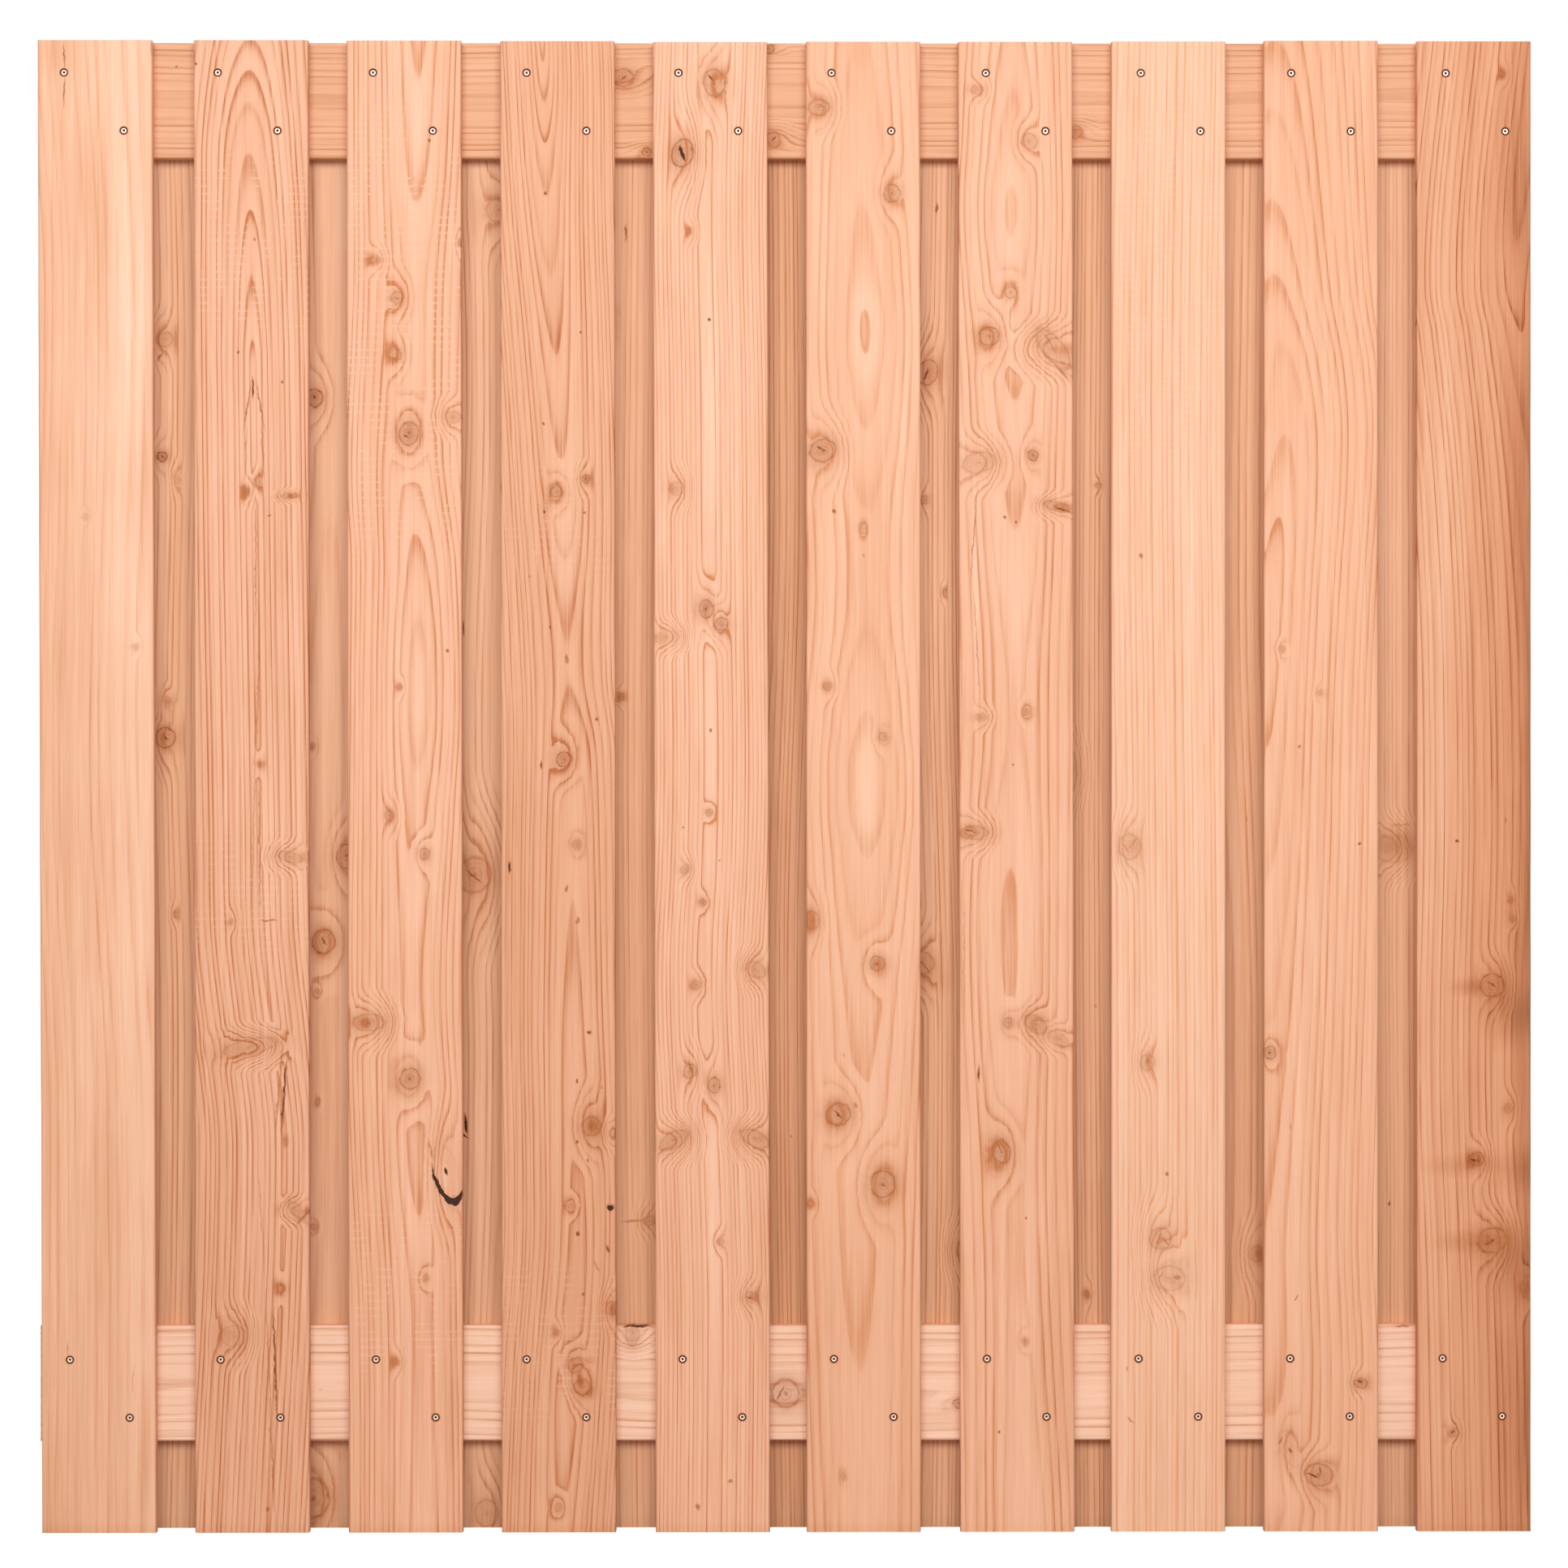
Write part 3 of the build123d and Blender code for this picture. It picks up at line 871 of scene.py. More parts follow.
note("front_board_6", paint(251, 192, 156), paint(225, 147, 99), 9,
     heart=((1062, 50, 46), (1066, 334, 31), (1067, 407, 26), (1067, 480, 31), (1070, 700, 48),
            (1067, 886, 33), (1067, 970, 25), (1067, 1054, 33), (1064, 1250, 50), (1060, 1560, 60),
            (1064, 1889, 66)),
     knots=((1009, 132, 13, 0.75, 0, 1.8, 0.75), (1099, 238, 10, 1.1, 0, 2, 0.8),
            (1014, 555, 16, 0.85, 25, 1.8, 0.85), (1064, 652, 4, 1.4, 0, 2, 0.6),
            (1020, 846, 5, 1, 0, 2.2, 0.8), (1088, 908, 5, 1, 0, 2, 0.75),
            (1001, 1134, 8, 1.4, 0, 1.8, 0.7), (1081, 1187, 9, 1, 0, 2.2, 0.85),
            (1033, 1373, 15, 0.9, 20, 1.9, 0.85), (1088, 1459, 15, 1.1, 0, 1.9, 0.85),
            (1000, 1483, 4, 1, 0, 2, 0.6), (1039, 1819, 3, 1.4, 0, 2, 0.7)),
     specks=((1028, 630, 2.2, 2.6, 0, 0.8), (1012, 553, 1.6, 8, 70, 0.9), (1033, 1373, 1.4, 9, 50, 0.9),
             (1090, 1461, 1.2, 7, 30, 0.8), (1054, 1362, 2.5, 4, 20, 0.6), (1011, 130, 1.2, 6, 70, 0.8),
             (1064, 684, 1, 2, 0, 0.6), (1040, 1300, 1, 2, 0, 0.5)),
     patches=((1067, 407, 20, 100, 0.12), (1067, 970, 17, 104, 0.18), (1067, 700, 26, 130, -0.03),
              (1030, 1700, 26, 160, -0.05), (1110, 700, 14, 400, 0.05), (1012, 300, 14, 140, 0.05)),
     waves=7.5, contrast=0.72, uneven=1.8, cloud=0.12, ring_tone=0.2)
note("front_board_7", paint(252, 193, 158), paint(219, 140, 92), 7,
     heart=((1248, 50, 40), (1246, 185, 31), (1245, 260, 26), (1246, 336, 31), (1248, 422, 38),
            (1250, 640, 48), (1252, 883, 56), (1244, 1150, 48), (1250, 1500, 56), (1262, 1889, 50)),
     knots=((1204, 111, 8, 0.6, 0, 1.8, 0.6), (1268, 174, 10, 0.9, -30, 1.8, 0.6),
            (1245, 360, 7, 1.1, 0, 2.2, 0.75), (1219, 414, 12, 0.95, 10, 1.9, 0.85),
            (1298, 430, 30, 0.42, -52, 1.4, 0.6), (1206, 570, 20, 0.6, 12, 1.5, 0.5),
            (1273, 561, 6, 1.1, 20, 2.2, 1.05), (1302, 624, 16, 0.35, -14, 1.5, 0.75),
            (1209, 884, 7, 0.6, 0, 2, 0.5), (1264, 877, 4, 1, 0, 2.2, 0.75),
            (1200, 1026, 17, 0.5, 0, 1.5, 0.65), (1242, 1260, 5, 1.2, 0, 2.2, 0.8),
            (1276, 1262, 15, 0.6, -35, 1.6, 0.7), (1305, 1280, 13, 0.5, -35, 1.5, 0.5),
            (1234, 1419, 11, 1.3, 10, 2, 0.85), (1263, 1653, 4, 1, 0, 2, 0.5)),
     specks=((1238, 637, 1.8, 2, 0, 0.8), (1252, 643, 1.4, 2, 0, 0.8), (1248, 942, 1.6, 2, 0, 0.7),
             (1206, 1323, 1.6, 10, 0, 0.85), (1265, 1501, 1.6, 2, 0, 0.8), (1231, 1764, 1.6, 2.4, 0, 0.8),
             (1200, 660, 0.8, 60, -4, 0.6), (1204, 800, 0.8, 66, 3, 0.55), (1310, 628, 1.5, 12, 74, 0.9),
             (1305, 455, 1.5, 20, 40, 0.7), (1292, 420, 1.2, 18, 36, 0.6), (1196, 1024, 1.4, 9, 75, 0.8),
             (1232, 1415, 1.4, 8, 20, 0.8), (1188, 1180, 0.8, 70, 0, 0.4)),
     patches=((1245, 260, 16, 90, 0.08), (1202, 740, 8, 150, 0.16), (1252, 800, 14, 140, 0.05),
              (1302, 1700, 24, 220, -0.09), (1300, 470, 24, 60, 0.07), (1210, 600, 24, 40, 0.06),
              (1250, 1180, 24, 80, 0.07)),
     waves=6, contrast=0.8, uneven=1.7, cloud=0.12, ring_tone=0.18, foot_shade=-0.06)

# %% Front boards 8 to 10
note("front_board_8", paint(255, 202, 168), paint(241, 166, 121), 6.4,
     heart=((1256, 50, 46), (1250, 500, 48), (1254, 1000, 45), (1258, 1400, 49), (1256, 1889, 47)),
     knots=((1392, 1043, 13, 1.2, 0, 1.4, 0.45), (1414, 1309, 8, 1.2, 0, 1.8, 0.55),
            (1430, 1526, 13, 1, 0, 2, 0.55), (1441, 1575, 19, 0.8, 0, 1.6, 0.45)),
     specks=((1406, 685, 2.2, 2.8, 0, 0.75), (1438, 1447, 2, 3, 0, 0.75), (1428, 1526, 1.5, 9, -20, 0.7),
             (1437, 1530, 1.2, 7, 40, 0.7), (1430, 1572, 1.2, 6, -30, 0.6), (1450, 1574, 3, 6, 70, 0.6),
             (1387, 1045, 1.2, 8, 30, 0.6), (1398, 1036, 1.2, 7, -30, 0.5), (1414, 1306, 1.2, 5, 10, 0.7),
             (1388, 1687, 1.2, 3, 0, 0.6), (1393, 1750, 1.2, 5, 40, 0.6)),
     patches=((1470, 700, 20, 600, 0.04), (1395, 1500, 14, 160, -0.03), (1440, 1800, 60, 120, -0.04),
              (1470, 1500, 20, 120, -0.04)),
     planed=((60, 620, 0.4),),
     waves=2.5, contrast=0.8, uneven=0.9, cloud=0.07, ring_tone=0.08, foot_shade=-0.03)
note("front_board_9", paint(251, 191, 155), paint(222, 144, 96), 8.6,
     heart=((1572, 50, 78), (1569, 257, 60), (1571, 363, 50), (1580, 444, 42), (1583, 511, 36),
            (1581, 559, 31), (1566, 746, 20), (1560, 960, 26), (1560, 1200, 40), (1556, 1500, 52),
            (1566, 1700, 58), (1570, 1889, 70)),
     knots=((1580, 800, 3.5, 1, 0, 2.2, 0.65), (1626, 854, 3.5, 1, 0, 2, 0.65),
            (1565, 1297, 7, 1.1, 0, 2, 0.95), (1677, 1704, 8, 0.8, 0, 1.5, 0.9),
            (1625, 1817, 17, 0.8, -10, 1.25, 0.8), (1590, 1785, 12, 2, 24, 1.1, 0.25)),
     specks=((1601, 920, 1.6, 2, 0, 0.7), (1675, 1039, 1.8, 2, 0, 0.9), (1618, 1818, 1.8, 9, 70, 0.9),
             (1627, 1812, 1.4, 7, 10, 0.8), (1676, 1702, 2, 5, 80, 0.9), (1590, 1788, 1.6, 4, 30, 0.9),
             (1578, 1775, 1.4, 5, -20, 0.7), (1597, 1599, 1.2, 4, -30, 0.7), (1590, 1388, 1, 4, 10, 0.4)),
     patches=((1650, 900, 20, 600, 0.04), (1585, 1830, 22, 40, 0.06), (1655, 1340, 14, 70, -0.07),
              (1600, 1500, 20, 200, 0.04), (1625, 1850, 30, 30, -0.08)),
     waves=7, contrast=0.72, uneven=1.5, cloud=0.1, ring_tone=0.14, foot_shade=-0.04)
note("front_board_10", paint(237, 170, 130), paint(188, 104, 58), 7.6,
     heart=((1895, 50, 6), (1872, 260, 12), (1868, 351, 18), (1876, 413, 22), (1896, 640, 30),
            (1905, 1000, 34), (1900, 1300, 26), (1910, 1600, 30), (1915, 1889, 34)),
     knots=((1852, 92, 4, 1, 0, 2.2, 0.5), (1862, 1109, 3, 1.4, 0, 2.2, 0.9),
            (1863, 1132, 3.6, 1, 0, 2.2, 0.95), (1839, 1214, 15, 0.95, 0, 1.4, 0.95),
            (1820, 1428, 9, 0.9, 0, 1.7, 0.95), (1839, 1528, 18, 0.85, 12, 1.4, 0.95),
            (1883, 1586, 9, 1.6, 0, 1.4, 0.8), (1791, 1765, 6, 0.9, 0, 1.7, 0.75),
            (1859, 1366, 5, 1.2, 0, 2.2, 0.7)),
     specks=((1795, 1036, 2.2, 2.2, 0, 1), (1838, 1213, 1.3, 9, 60, 0.9), (1818, 1430, 2.2, 7, 80, 1),
             (1836, 1530, 1.3, 10, -60, 0.9), (1790, 1764, 1.4, 4, -50, 0.9), (1855, 1010, 1.2, 3, 0, 0.6)),
     patches=((1775, 800, 34, 1200, 0.26), (1893, 900, 46, 1500, -0.46), (1872, 210, 30, 120, -0.2),
              (1860, 1560, 56, 50, -0.2), (1875, 1760, 50, 160, -0.16), (1856, 1250, 40, 40, -0.26),
              (1812, 1216, 26, 12, -0.28), (1800, 1436, 50, 14, -0.2), (1880, 1440, 50, 30, -0.2),
              (1798, 1530, 34, 14, -0.2)),
     waves=5, contrast=0.74, uneven=1.6, cloud=0.2, ring_tone=0.34)

# %% [markdown]
# ## Notes on the back boards and the rails
# Only a strip of each back board shows between the front boards. It has its own tone, mostly pinker than
# the front. What the photograph doesn't show, at their sides and behind, carries on by the same rule with
# a few plain knots.

# %% Back boards
note("back_board_1", gap_pale, gap_line, 6.6,
     heart=((150, 60, 22), (160, 420, 26), (150, 900, 20), (160, 1300, 26), (150, 1880, 24)),
     knots=((203, 418, 10, 0.9, 20, 2, 0.6), (200, 562, 6, 1, 0, 2.4, 1.3), (218, 590, 4, 1.6, 20, 2, 0.5),
            (204, 909, 12, 1.05, 0, 2, 1), (206, 862, 5, 1, 0, 2, 0.6), (217, 1126, 3.4, 1.1, 0, 2.2, 0.85),
            (160, 1400, 12, 1, 0, 2, 0.8), (262, 1600, 9, 1, 0, 2, 0.8)),
     specks=((197, 440, 1.4, 7, -30, 0.7), (204, 908, 1.3, 6, 40, 0.9)),
     waves=6, contrast=0.9, ring_tone=0.2)
note("back_board_2", paint(239, 187, 150), paint(209, 142, 99), 8,
     heart=((405, 60, 40), (410, 500, 44), (402, 900, 34), (408, 1300, 40), (402, 1880, 30)),
     knots=((388, 490, 10, 1.1, 0, 2.2, 1.05), (384, 920, 4, 1, 0, 2, 0.8),
            (427, 1055, 12, 1.3, 0, 1.8, 0.9), (399, 1160, 14, 1.05, 0, 2, 0.95),
            (391, 1222, 3, 1, 0, 2, 0.85), (392, 1357, 2.6, 1.2, 0, 2, 0.85),
            (387, 1512, 4, 1, 0, 2.2, 0.85), (386, 1846, 20, 1.2, 0, 1.8, 0.85)),
     specks=((399, 1160, 1.3, 7, 30, 0.9),),
     patches=((405, 700, 10, 200, 0.06),),
     contrast=0.75)
note("back_board_3", gap_pale, gap_line, 7,
     heart=((630, 60, 24), (640, 500, 20), (625, 900, 28), (640, 1300, 24), (630, 1880, 20)),
     knots=((615, 259, 16, 0.9, 0, 2, 0.6), (585, 1078, 20, 1.1, -20, 2.2, 0.75),
            (540, 700, 10, 1, 0, 2, 0.8), (600, 1864, 14, 1.2, 0, 2, 0.6), (640, 1500, 11, 1, 0, 2, 0.7)),
     specks=((571, 774, 1.6, 9, 0, 0.9), (574, 1384, 2, 11, 8, 1.35), (571, 1398, 1.4, 8, 50, 1.2),
             (584, 1080, 1.6, 14, 50, 0.9)),
     waves=6.5, contrast=0.85, ring_tone=0.2)
note("back_board_4", paint(238, 184, 146), paint(209, 142, 101), 6,
     heart=((730, 60, 30), (726, 900, 34), (735, 1880, 30)),
     knots=((762, 859, 7, 0.7, 0, 1.6, 0.85), (800, 1504, 8, 0.7, 0, 2, 0.7), (745, 400, 10, 1, 0, 2, 0.8)),
     specks=((771, 287, 1.6, 9, 0, 0.9), (782, 1504, 14, 1.6, 4, 0.6), (766, 1640, 1, 4, 0, 0.5)),
     patches=((800, 1000, 10, 120, -0.06),),
     waves=3.6, contrast=0.7)
note("back_board_5", paint(231, 175, 136), paint(193, 124, 80), 5.6,
     heart=((900, 60, 20), (905, 600, 26), (890, 1200, 22), (900, 1880, 26)),
     knots=((925, 820, 12, 1, 0, 2, 0.8), (1010, 420, 9, 1, 0, 2, 0.8)),
     specks=((975, 1400, 1.2, 2, 0, 0.6),),
     patches=((965, 1500, 26, 200, -0.05),),
     waves=4.5, contrast=1)
note("back_board_6", paint(239, 186, 148), paint(199, 131, 88), 5.2,
     heart=((1110, 60, 22), (1105, 700, 26), (1115, 1300, 22), (1110, 1880, 26)),
     knots=((1143, 459, 12, 1.3, -20, 1.9, 0.9), (1139, 616, 4, 1.3, 0, 2.2, 0.9),
            (1164, 730, 3, 1.2, 0, 2, 0.9), (1136, 1186, 15, 0.9, -25, 1.9, 0.75),
            (1190, 1540, 11, 1, 0, 2, 0.8)),
     specks=((1154, 257, 1.6, 7, 0, 0.9), (1141, 462, 1.5, 10, -20, 1), (1139, 1190, 1.4, 14, 40, 0.8)),
     patches=((1155, 1210, 20, 20, -0.12),),
     waves=4.5, contrast=0.95)
note("back_board_7", paint(238, 184, 146), paint(199, 131, 88), 5.2,
     heart=((1400, 60, 20), (1392, 900, 26), (1400, 1880, 22)),
     knots=((1353, 598, 3, 1.1, 0, 2.2, 0.9), (1340, 1595, 3.4, 1.5, 20, 2.2, 0.9),
            (1310, 950, 12, 1, 0, 2, 0.8)),
     specks=((1350, 1240, 1, 2, 0, 0.6),),
     waves=3.4, contrast=0.9)
note("back_board_8", paint(236, 181, 142), paint(199, 131, 87), 7.2,
     heart=((1500, 60, 26), (1495, 700, 30), (1505, 1300, 22), (1500, 1880, 26)),
     knots=((1549, 1545, 9, 1.1, 0, 2.4, 0.55), (1590, 900, 11, 1, 0, 2, 0.8)),
     specks=((1536, 1010, 1, 3, 0, 0.5),),
     waves=5, contrast=0.85)
note("back_board_9", paint(239, 186, 149), paint(207, 141, 100), 4.6,
     heart=((1770, 60, 28), (1765, 900, 34), (1772, 1880, 30)),
     knots=((1716, 1046, 24, 0.7, 0, 1.2, 0.3), (1660, 600, 11, 1, 0, 2, 0.8)),
     specks=((1712, 1483, 1.4, 3, 0, 0.95), (1725, 1016, 12, 1.4, 4, 0.4)),
     patches=((1718, 1040, 30, 22, -0.32),),
     waves=3.4, contrast=0.75)

# %% Rails
note("top_rail", paint(236, 179, 141), paint(201, 133, 90), 6.5,
     heart=((1880, 118, 22), (1400, 122, 24), (970, 118, 20), (500, 126, 24), (50, 120, 22)),
     knots=((768, 96, 11, 1.1, 0, 1.9, 0.9), (797, 187, 5.5, 1, 0, 2, 1.1), (948, 60, 5, 1.2, 0, 2, 1),
            (953, 172, 10, 0.8, 0, 1.9, 0.9), (1326, 163, 8, 0.8, 0, 1.9, 0.85)),
     specks=((768, 96, 1.3, 6, 40, 0.9), (218, 82, 1.6, 1.6, 0, 0.7), (954, 171, 1.6, 5, 50, 0.9)),
     waves=8, contrast=0.75, uneven=1.2, ring_tone=0.06)
note("bottom_rail", paint(255, 210, 181), paint(222, 163, 125), 8,
     heart=((1880, 1705, 30), (1400, 1712, 34), (970, 1716, 30), (500, 1700, 34), (50, 1708, 30)),
     knots=((968, 1717, 17, 1, 0, 1.7, 0.8), (779, 1643, 14, 0.6, 0, 1.6, 0.5),
            (1182, 1729, 6, 1.3, 0, 1.8, 0.9)),
     specks=((962, 1716, 1.5, 11, 60, 0.85), (785, 1634, 1.6, 18, 0, 1.1), (1728, 1634, 1.2, 8, 0, 0.8),
             (395, 1712, 1, 2, 0, 0.3)),
     patches=((779, 1648, 20, 12, -0.14),),
     waves=12, contrast=0.8, uneven=1.2, ring_tone=0.06)
print(len(looks), "pieces of wood noted")

# %% [markdown]
# ## One screw, turned once
# The real screws are stainless, with a countersunk head and a star recess for the driver. A screw is
# round, so it is a stack of rings joined by faces, as if turned on a lathe. The recess is the same stack
# carried on inward, with two rings that follow a six-lobed star. The tool that cuts its hole is turned by
# the same function.

# %% A lathe
ring_steps = 24
star_lobes = 6
sharpest_smooth_edge = math.radians(32)


def turned_rings(name, first_depth, rings, last_depth):
    """A closed body of rings, each with a radius, a height on the axis and the depth of its star lobes."""
    mesh = bpy.data.meshes.new(name)
    body = bmesh.new()
    first = body.verts.new((0.0, 0.0, first_depth))
    loops = []
    for radius, height, lobe in rings:
        loop = []
        for step in range(ring_steps):
            angle = 2 * math.pi * step / ring_steps
            reach = radius + lobe * math.cos(star_lobes * angle)
            loop.append(body.verts.new((reach * math.cos(angle), reach * math.sin(angle), height)))
        loops.append(loop)
    last = body.verts.new((0.0, 0.0, last_depth))
    for step in range(ring_steps):
        after = (step + 1) % ring_steps
        body.faces.new((first, loops[0][step], loops[0][after]))
        for upper, lower in zip(loops, loops[1:]):
            body.faces.new((upper[step], lower[step], lower[after], upper[after]))
        body.faces.new((loops[-1][step], last, loops[-1][after]))
    bmesh.ops.recalc_face_normals(body, faces=body.faces)
    for face in body.faces:
        face.smooth = True
    for edge in body.edges:
        edge.smooth = edge.calc_face_angle(0.0) < sharpest_smooth_edge
    body.to_mesh(mesh)
    body.free()
    piece = bpy.data.objects.new(name, mesh)
    bpy.context.scene.collection.objects.link(piece)
    return piece


# %% Turn a screw and the cutter for its hole
shank_radius = 0.002
screw_length = 0.030
point_length = 0.005
sink = 0.0004
room = 0.0001
star_radius = 0.0017
star_depth = 0.0015
cone_depth = head_radius - shank_radius
screw_rings = (
    (star_radius * 0.92, -star_depth, 0.00026),
    (star_radius, -0.0001, 0.0003),
    (star_radius + 0.0002, 0.0, 0.0003),
    (head_radius - 0.0009, 0.0, 0.0),
    (head_radius - 0.0006, -0.0003, 0.0),
    (head_radius, -0.0005, 0.0),
    (shank_radius, -cone_depth, 0.0),
    (shank_radius, point_length - screw_length, 0.0),
)
screw_master = turned_rings("screw_master", -star_depth * 1.25, screw_rings, -screw_length)
cutter_rings = (
    (head_radius + 0.0025, 0.002 + sink * 0.5, 0.0),
    (head_radius + 0.00045, 0.0, 0.0),
    (head_radius + 0.00025, -0.0003, 0.0),
    (shank_radius + room, -cone_depth - 0.0003, 0.0),
    (shank_radius + room, point_length - screw_length, 0.0),
)
hole_cutter = turned_rings("hole_cutter", 0.0021 + sink * 0.5, cutter_rings, -screw_length - room)
print("screw of", len(screw_master.data.polygons), "faces")

# %% [markdown]
# ## The tree that planes a board
# All boards and rails follow one rule: a rounded rectangle carried along the length, leaning as the
# builder left it, its edges never quite straight, with a countersunk hole at every mark. Geometry Nodes
# keep that as one tree with named sizes. The wear input moves the long edges a few tenths of a millimetre
# to and fro. A mark is a point with a number that says which way its screw looks.

# %% Marks for a tree, and what stands on them


def marks_object(name, rows, keep):
    """An object whose mesh is only the marks of these rows that the test keeps."""
    chosen = [(mark, screw_rows[row]) for row in rows for mark in row_marks[row] if keep(mark)]
    mesh = bpy.data.meshes.new(name + "_marks")
    mesh.from_pydata([mark for mark, aim in chosen], [], [])
    aims = mesh.attributes.new("aim", "FLOAT", "POINT")
    for place, (mark, aim) in zip(aims.data, chosen):
        place.value = aim
    piece = bpy.data.objects.new(name + "_marks", mesh)
    bpy.context.scene.collection.objects.link(piece)
    return piece


def node_step(tree, kind, settings=None, **sockets):
    """The result of one geometry node, with its sockets set by name."""
    return put(tree, "GeometryNode" + kind, settings, spaced(sockets)).outputs[0]


def instances_on_marks(tree, marks, master, spin):
    """A copy of the master at every mark, looking the way the mark says."""
    shape = put(tree, "GeometryNodeObjectInfo", sockets={"Object": master}).outputs["Geometry"]
    aim = node_step(tree, "InputNamedAttribute", {"data_type": "FLOAT"}, Name="aim")
    upright = joined(tree, X=maths(tree, "MULTIPLY", aim, math.pi / 2))
    copies = node_step(tree, "InstanceOnPoints", Points=marks, Instance=shape, Rotation=upright)
    turn = joined(tree, Z=spin)
    spun = node_step(tree, "RotateInstances", Instances=copies, Rotation=turn, Local_Space=True)
    return node_step(tree, "RealizeInstances", Geometry=spun)


# %% The planed wood tree: a plank
inputs = [("Marks", "Geometry"), ("Width", "Float"), ("Thickness", "Float"), ("Length", "Float")]
inputs += [("Edge radius", "Float"), ("Foot shift", "Float"), ("Head shift", "Float"), ("Wear", "Float")]
inputs += [("Steps", "Int"), ("Seed", "Float"), ("Place", "Vector"), ("Turn", "Vector")]
inputs += [("Cutter", "Object"), ("Finish", "Material")]
tree, come, go = new_group("planed_wood", "GeometryNodeTree", inputs, [("Wood", "Geometry")])
planed_wood = tree
planed_wood.is_modifier = True
outline = node_step(tree, "CurvePrimitiveQuadrilateral", Width=come["Width"], Height=come["Thickness"])
rounded = node_step(tree, "FilletCurve", {"mode": "POLY"}, Curve=outline, Count=5,
                    Radius=come["Edge radius"])
line = node_step(tree, "CurvePrimitiveLine", End=joined(tree, Z=come["Length"]))
line = node_step(tree, "ResampleCurve", {"mode": "COUNT"}, Curve=line, Count=come["Steps"])
plank = node_step(tree, "CurveToMesh", Curve=line, Profile_Curve=rounded, Fill_Caps=True)
axes = split(tree, node_step(tree, "InputPosition"))
share_up = maths(tree, "DIVIDE", axes["Z"], come["Length"])
lean = maths(tree, "SUBTRACT", come["Head shift"], come["Foot shift"])
lean = maths(tree, "MULTIPLY_ADD", share_up, lean, come["Foot shift"])
edge = maths(tree, "SIGN", axes["X"])
waves_per_metre = 5.0
edge_line = joined(tree, X=edge, Y=come["Seed"], Z=maths(tree, "MULTIPLY", axes["Z"], waves_per_metre))
wear = maths(tree, "SUBTRACT", clouds(tree, edge_line, 3.0, 1.7), 0.5)
shift = joined(tree, X=maths(tree, "MULTIPLY_ADD", wear, come["Wear"], lean))
leaning = node_step(tree, "SetPosition", Geometry=plank, Offset=shift)
placed = node_step(tree, "Transform", Geometry=leaning, Translation=come["Place"], Rotation=come["Turn"])

# %% The planed wood tree: its holes and its finish
small_area = 0.0001
cutters = instances_on_marks(tree, come["Marks"], come["Cutter"], 0.0)
drilled = put(tree, "GeometryNodeMeshBoolean", {"operation": "DIFFERENCE", "solver": "EXACT"},
              {0: placed, 1: cutters}).outputs[0]
area = node_step(tree, "InputMeshFaceArea")
small = put(tree, "FunctionNodeCompare", {"operation": "LESS_THAN"}, {0: area, 1: small_area}).outputs[0]
wood = node_step(tree, "SetShadeSmooth", Geometry=drilled, Shade_Smooth=False)
wood = node_step(tree, "SetShadeSmooth", Geometry=wood, Selection=small, Shade_Smooth=True)
corner = put(tree, "GeometryNodeInputMeshEdgeAngle").outputs["Unsigned Angle"]
sharp = put(tree, "FunctionNodeCompare", {"operation": "GREATER_THAN"}, {0: corner, 1: sharpest_smooth_edge})
wood = node_step(tree, "SetShadeSmooth", {"domain": "EDGE"}, Geometry=wood, Selection=sharp.outputs[0],
                 Shade_Smooth=False)
wood = node_step(tree, "RealizeInstances", Geometry=wood)
plug(tree, go["Wood"], node_step(tree, "SetMaterial", Geometry=wood, Material=come["Finish"]))

# %% Turn a tree's result into a finished piece


def grow(marks, tree, dials):
    """Put the tree on the marks, set its inputs, and keep the result as a plain mesh."""
    modifier = marks.modifiers.new(tree.name, "NODES")
    modifier.node_group = tree
    for item in tree.interface.items_tree:
        if item.item_type == "SOCKET" and item.in_out == "INPUT" and item.name in dials:
            modifier[item.identifier] = dials[item.name]
    seen = marks.evaluated_get(bpy.context.evaluated_depsgraph_get())
    mesh = bpy.data.meshes.new_from_object(seen)
    bpy.data.objects.remove(marks)
    return mesh


def finish_piece(name, mesh):
    """A named piece at the origin that stands for its CAD node."""
    mesh.name = name + "_made"
    piece = bpy.data.objects.new(name + "_made", mesh)
    bpy.context.scene.collection.objects.link(piece)
    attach(piece, "root")
    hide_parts(name)
    print(name, "of", sum(len(face.vertices) - 2 for face in mesh.polygons), "triangles")


# %% [markdown]
# ## The boards
# Each board's lean and drop are read from its CAD node: the corners of its foot and of its head. The
# holes come from the marks that lie on it, so screws and holes stay together if the CAD model changes.

# %% Make the boards
edge_radius = 0.003
edge_wear = 0.0009
step_length = 0.015
lengths_of_board = ("foot", "lower", "upper", "head")


def end_corners(name, height):
    """The left and right edge of a board at its foot or its head."""
    level = [v.co.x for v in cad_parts[name].data.vertices if abs(v.co.z - height) < 1e-4]
    return min(level), max(level)


def board_finishes(name, low, quarter):
    """A material for each quarter of a board's length, with the marks that reach it."""
    finishes = []
    for count, length in enumerate(lengths_of_board):
        lowest = low.z + quarter * count
        part = (lowest - step_length, lowest + quarter + step_length)
        finishes.append(wood_material(f"{name}_{length}", looks[name], part))
    return finishes


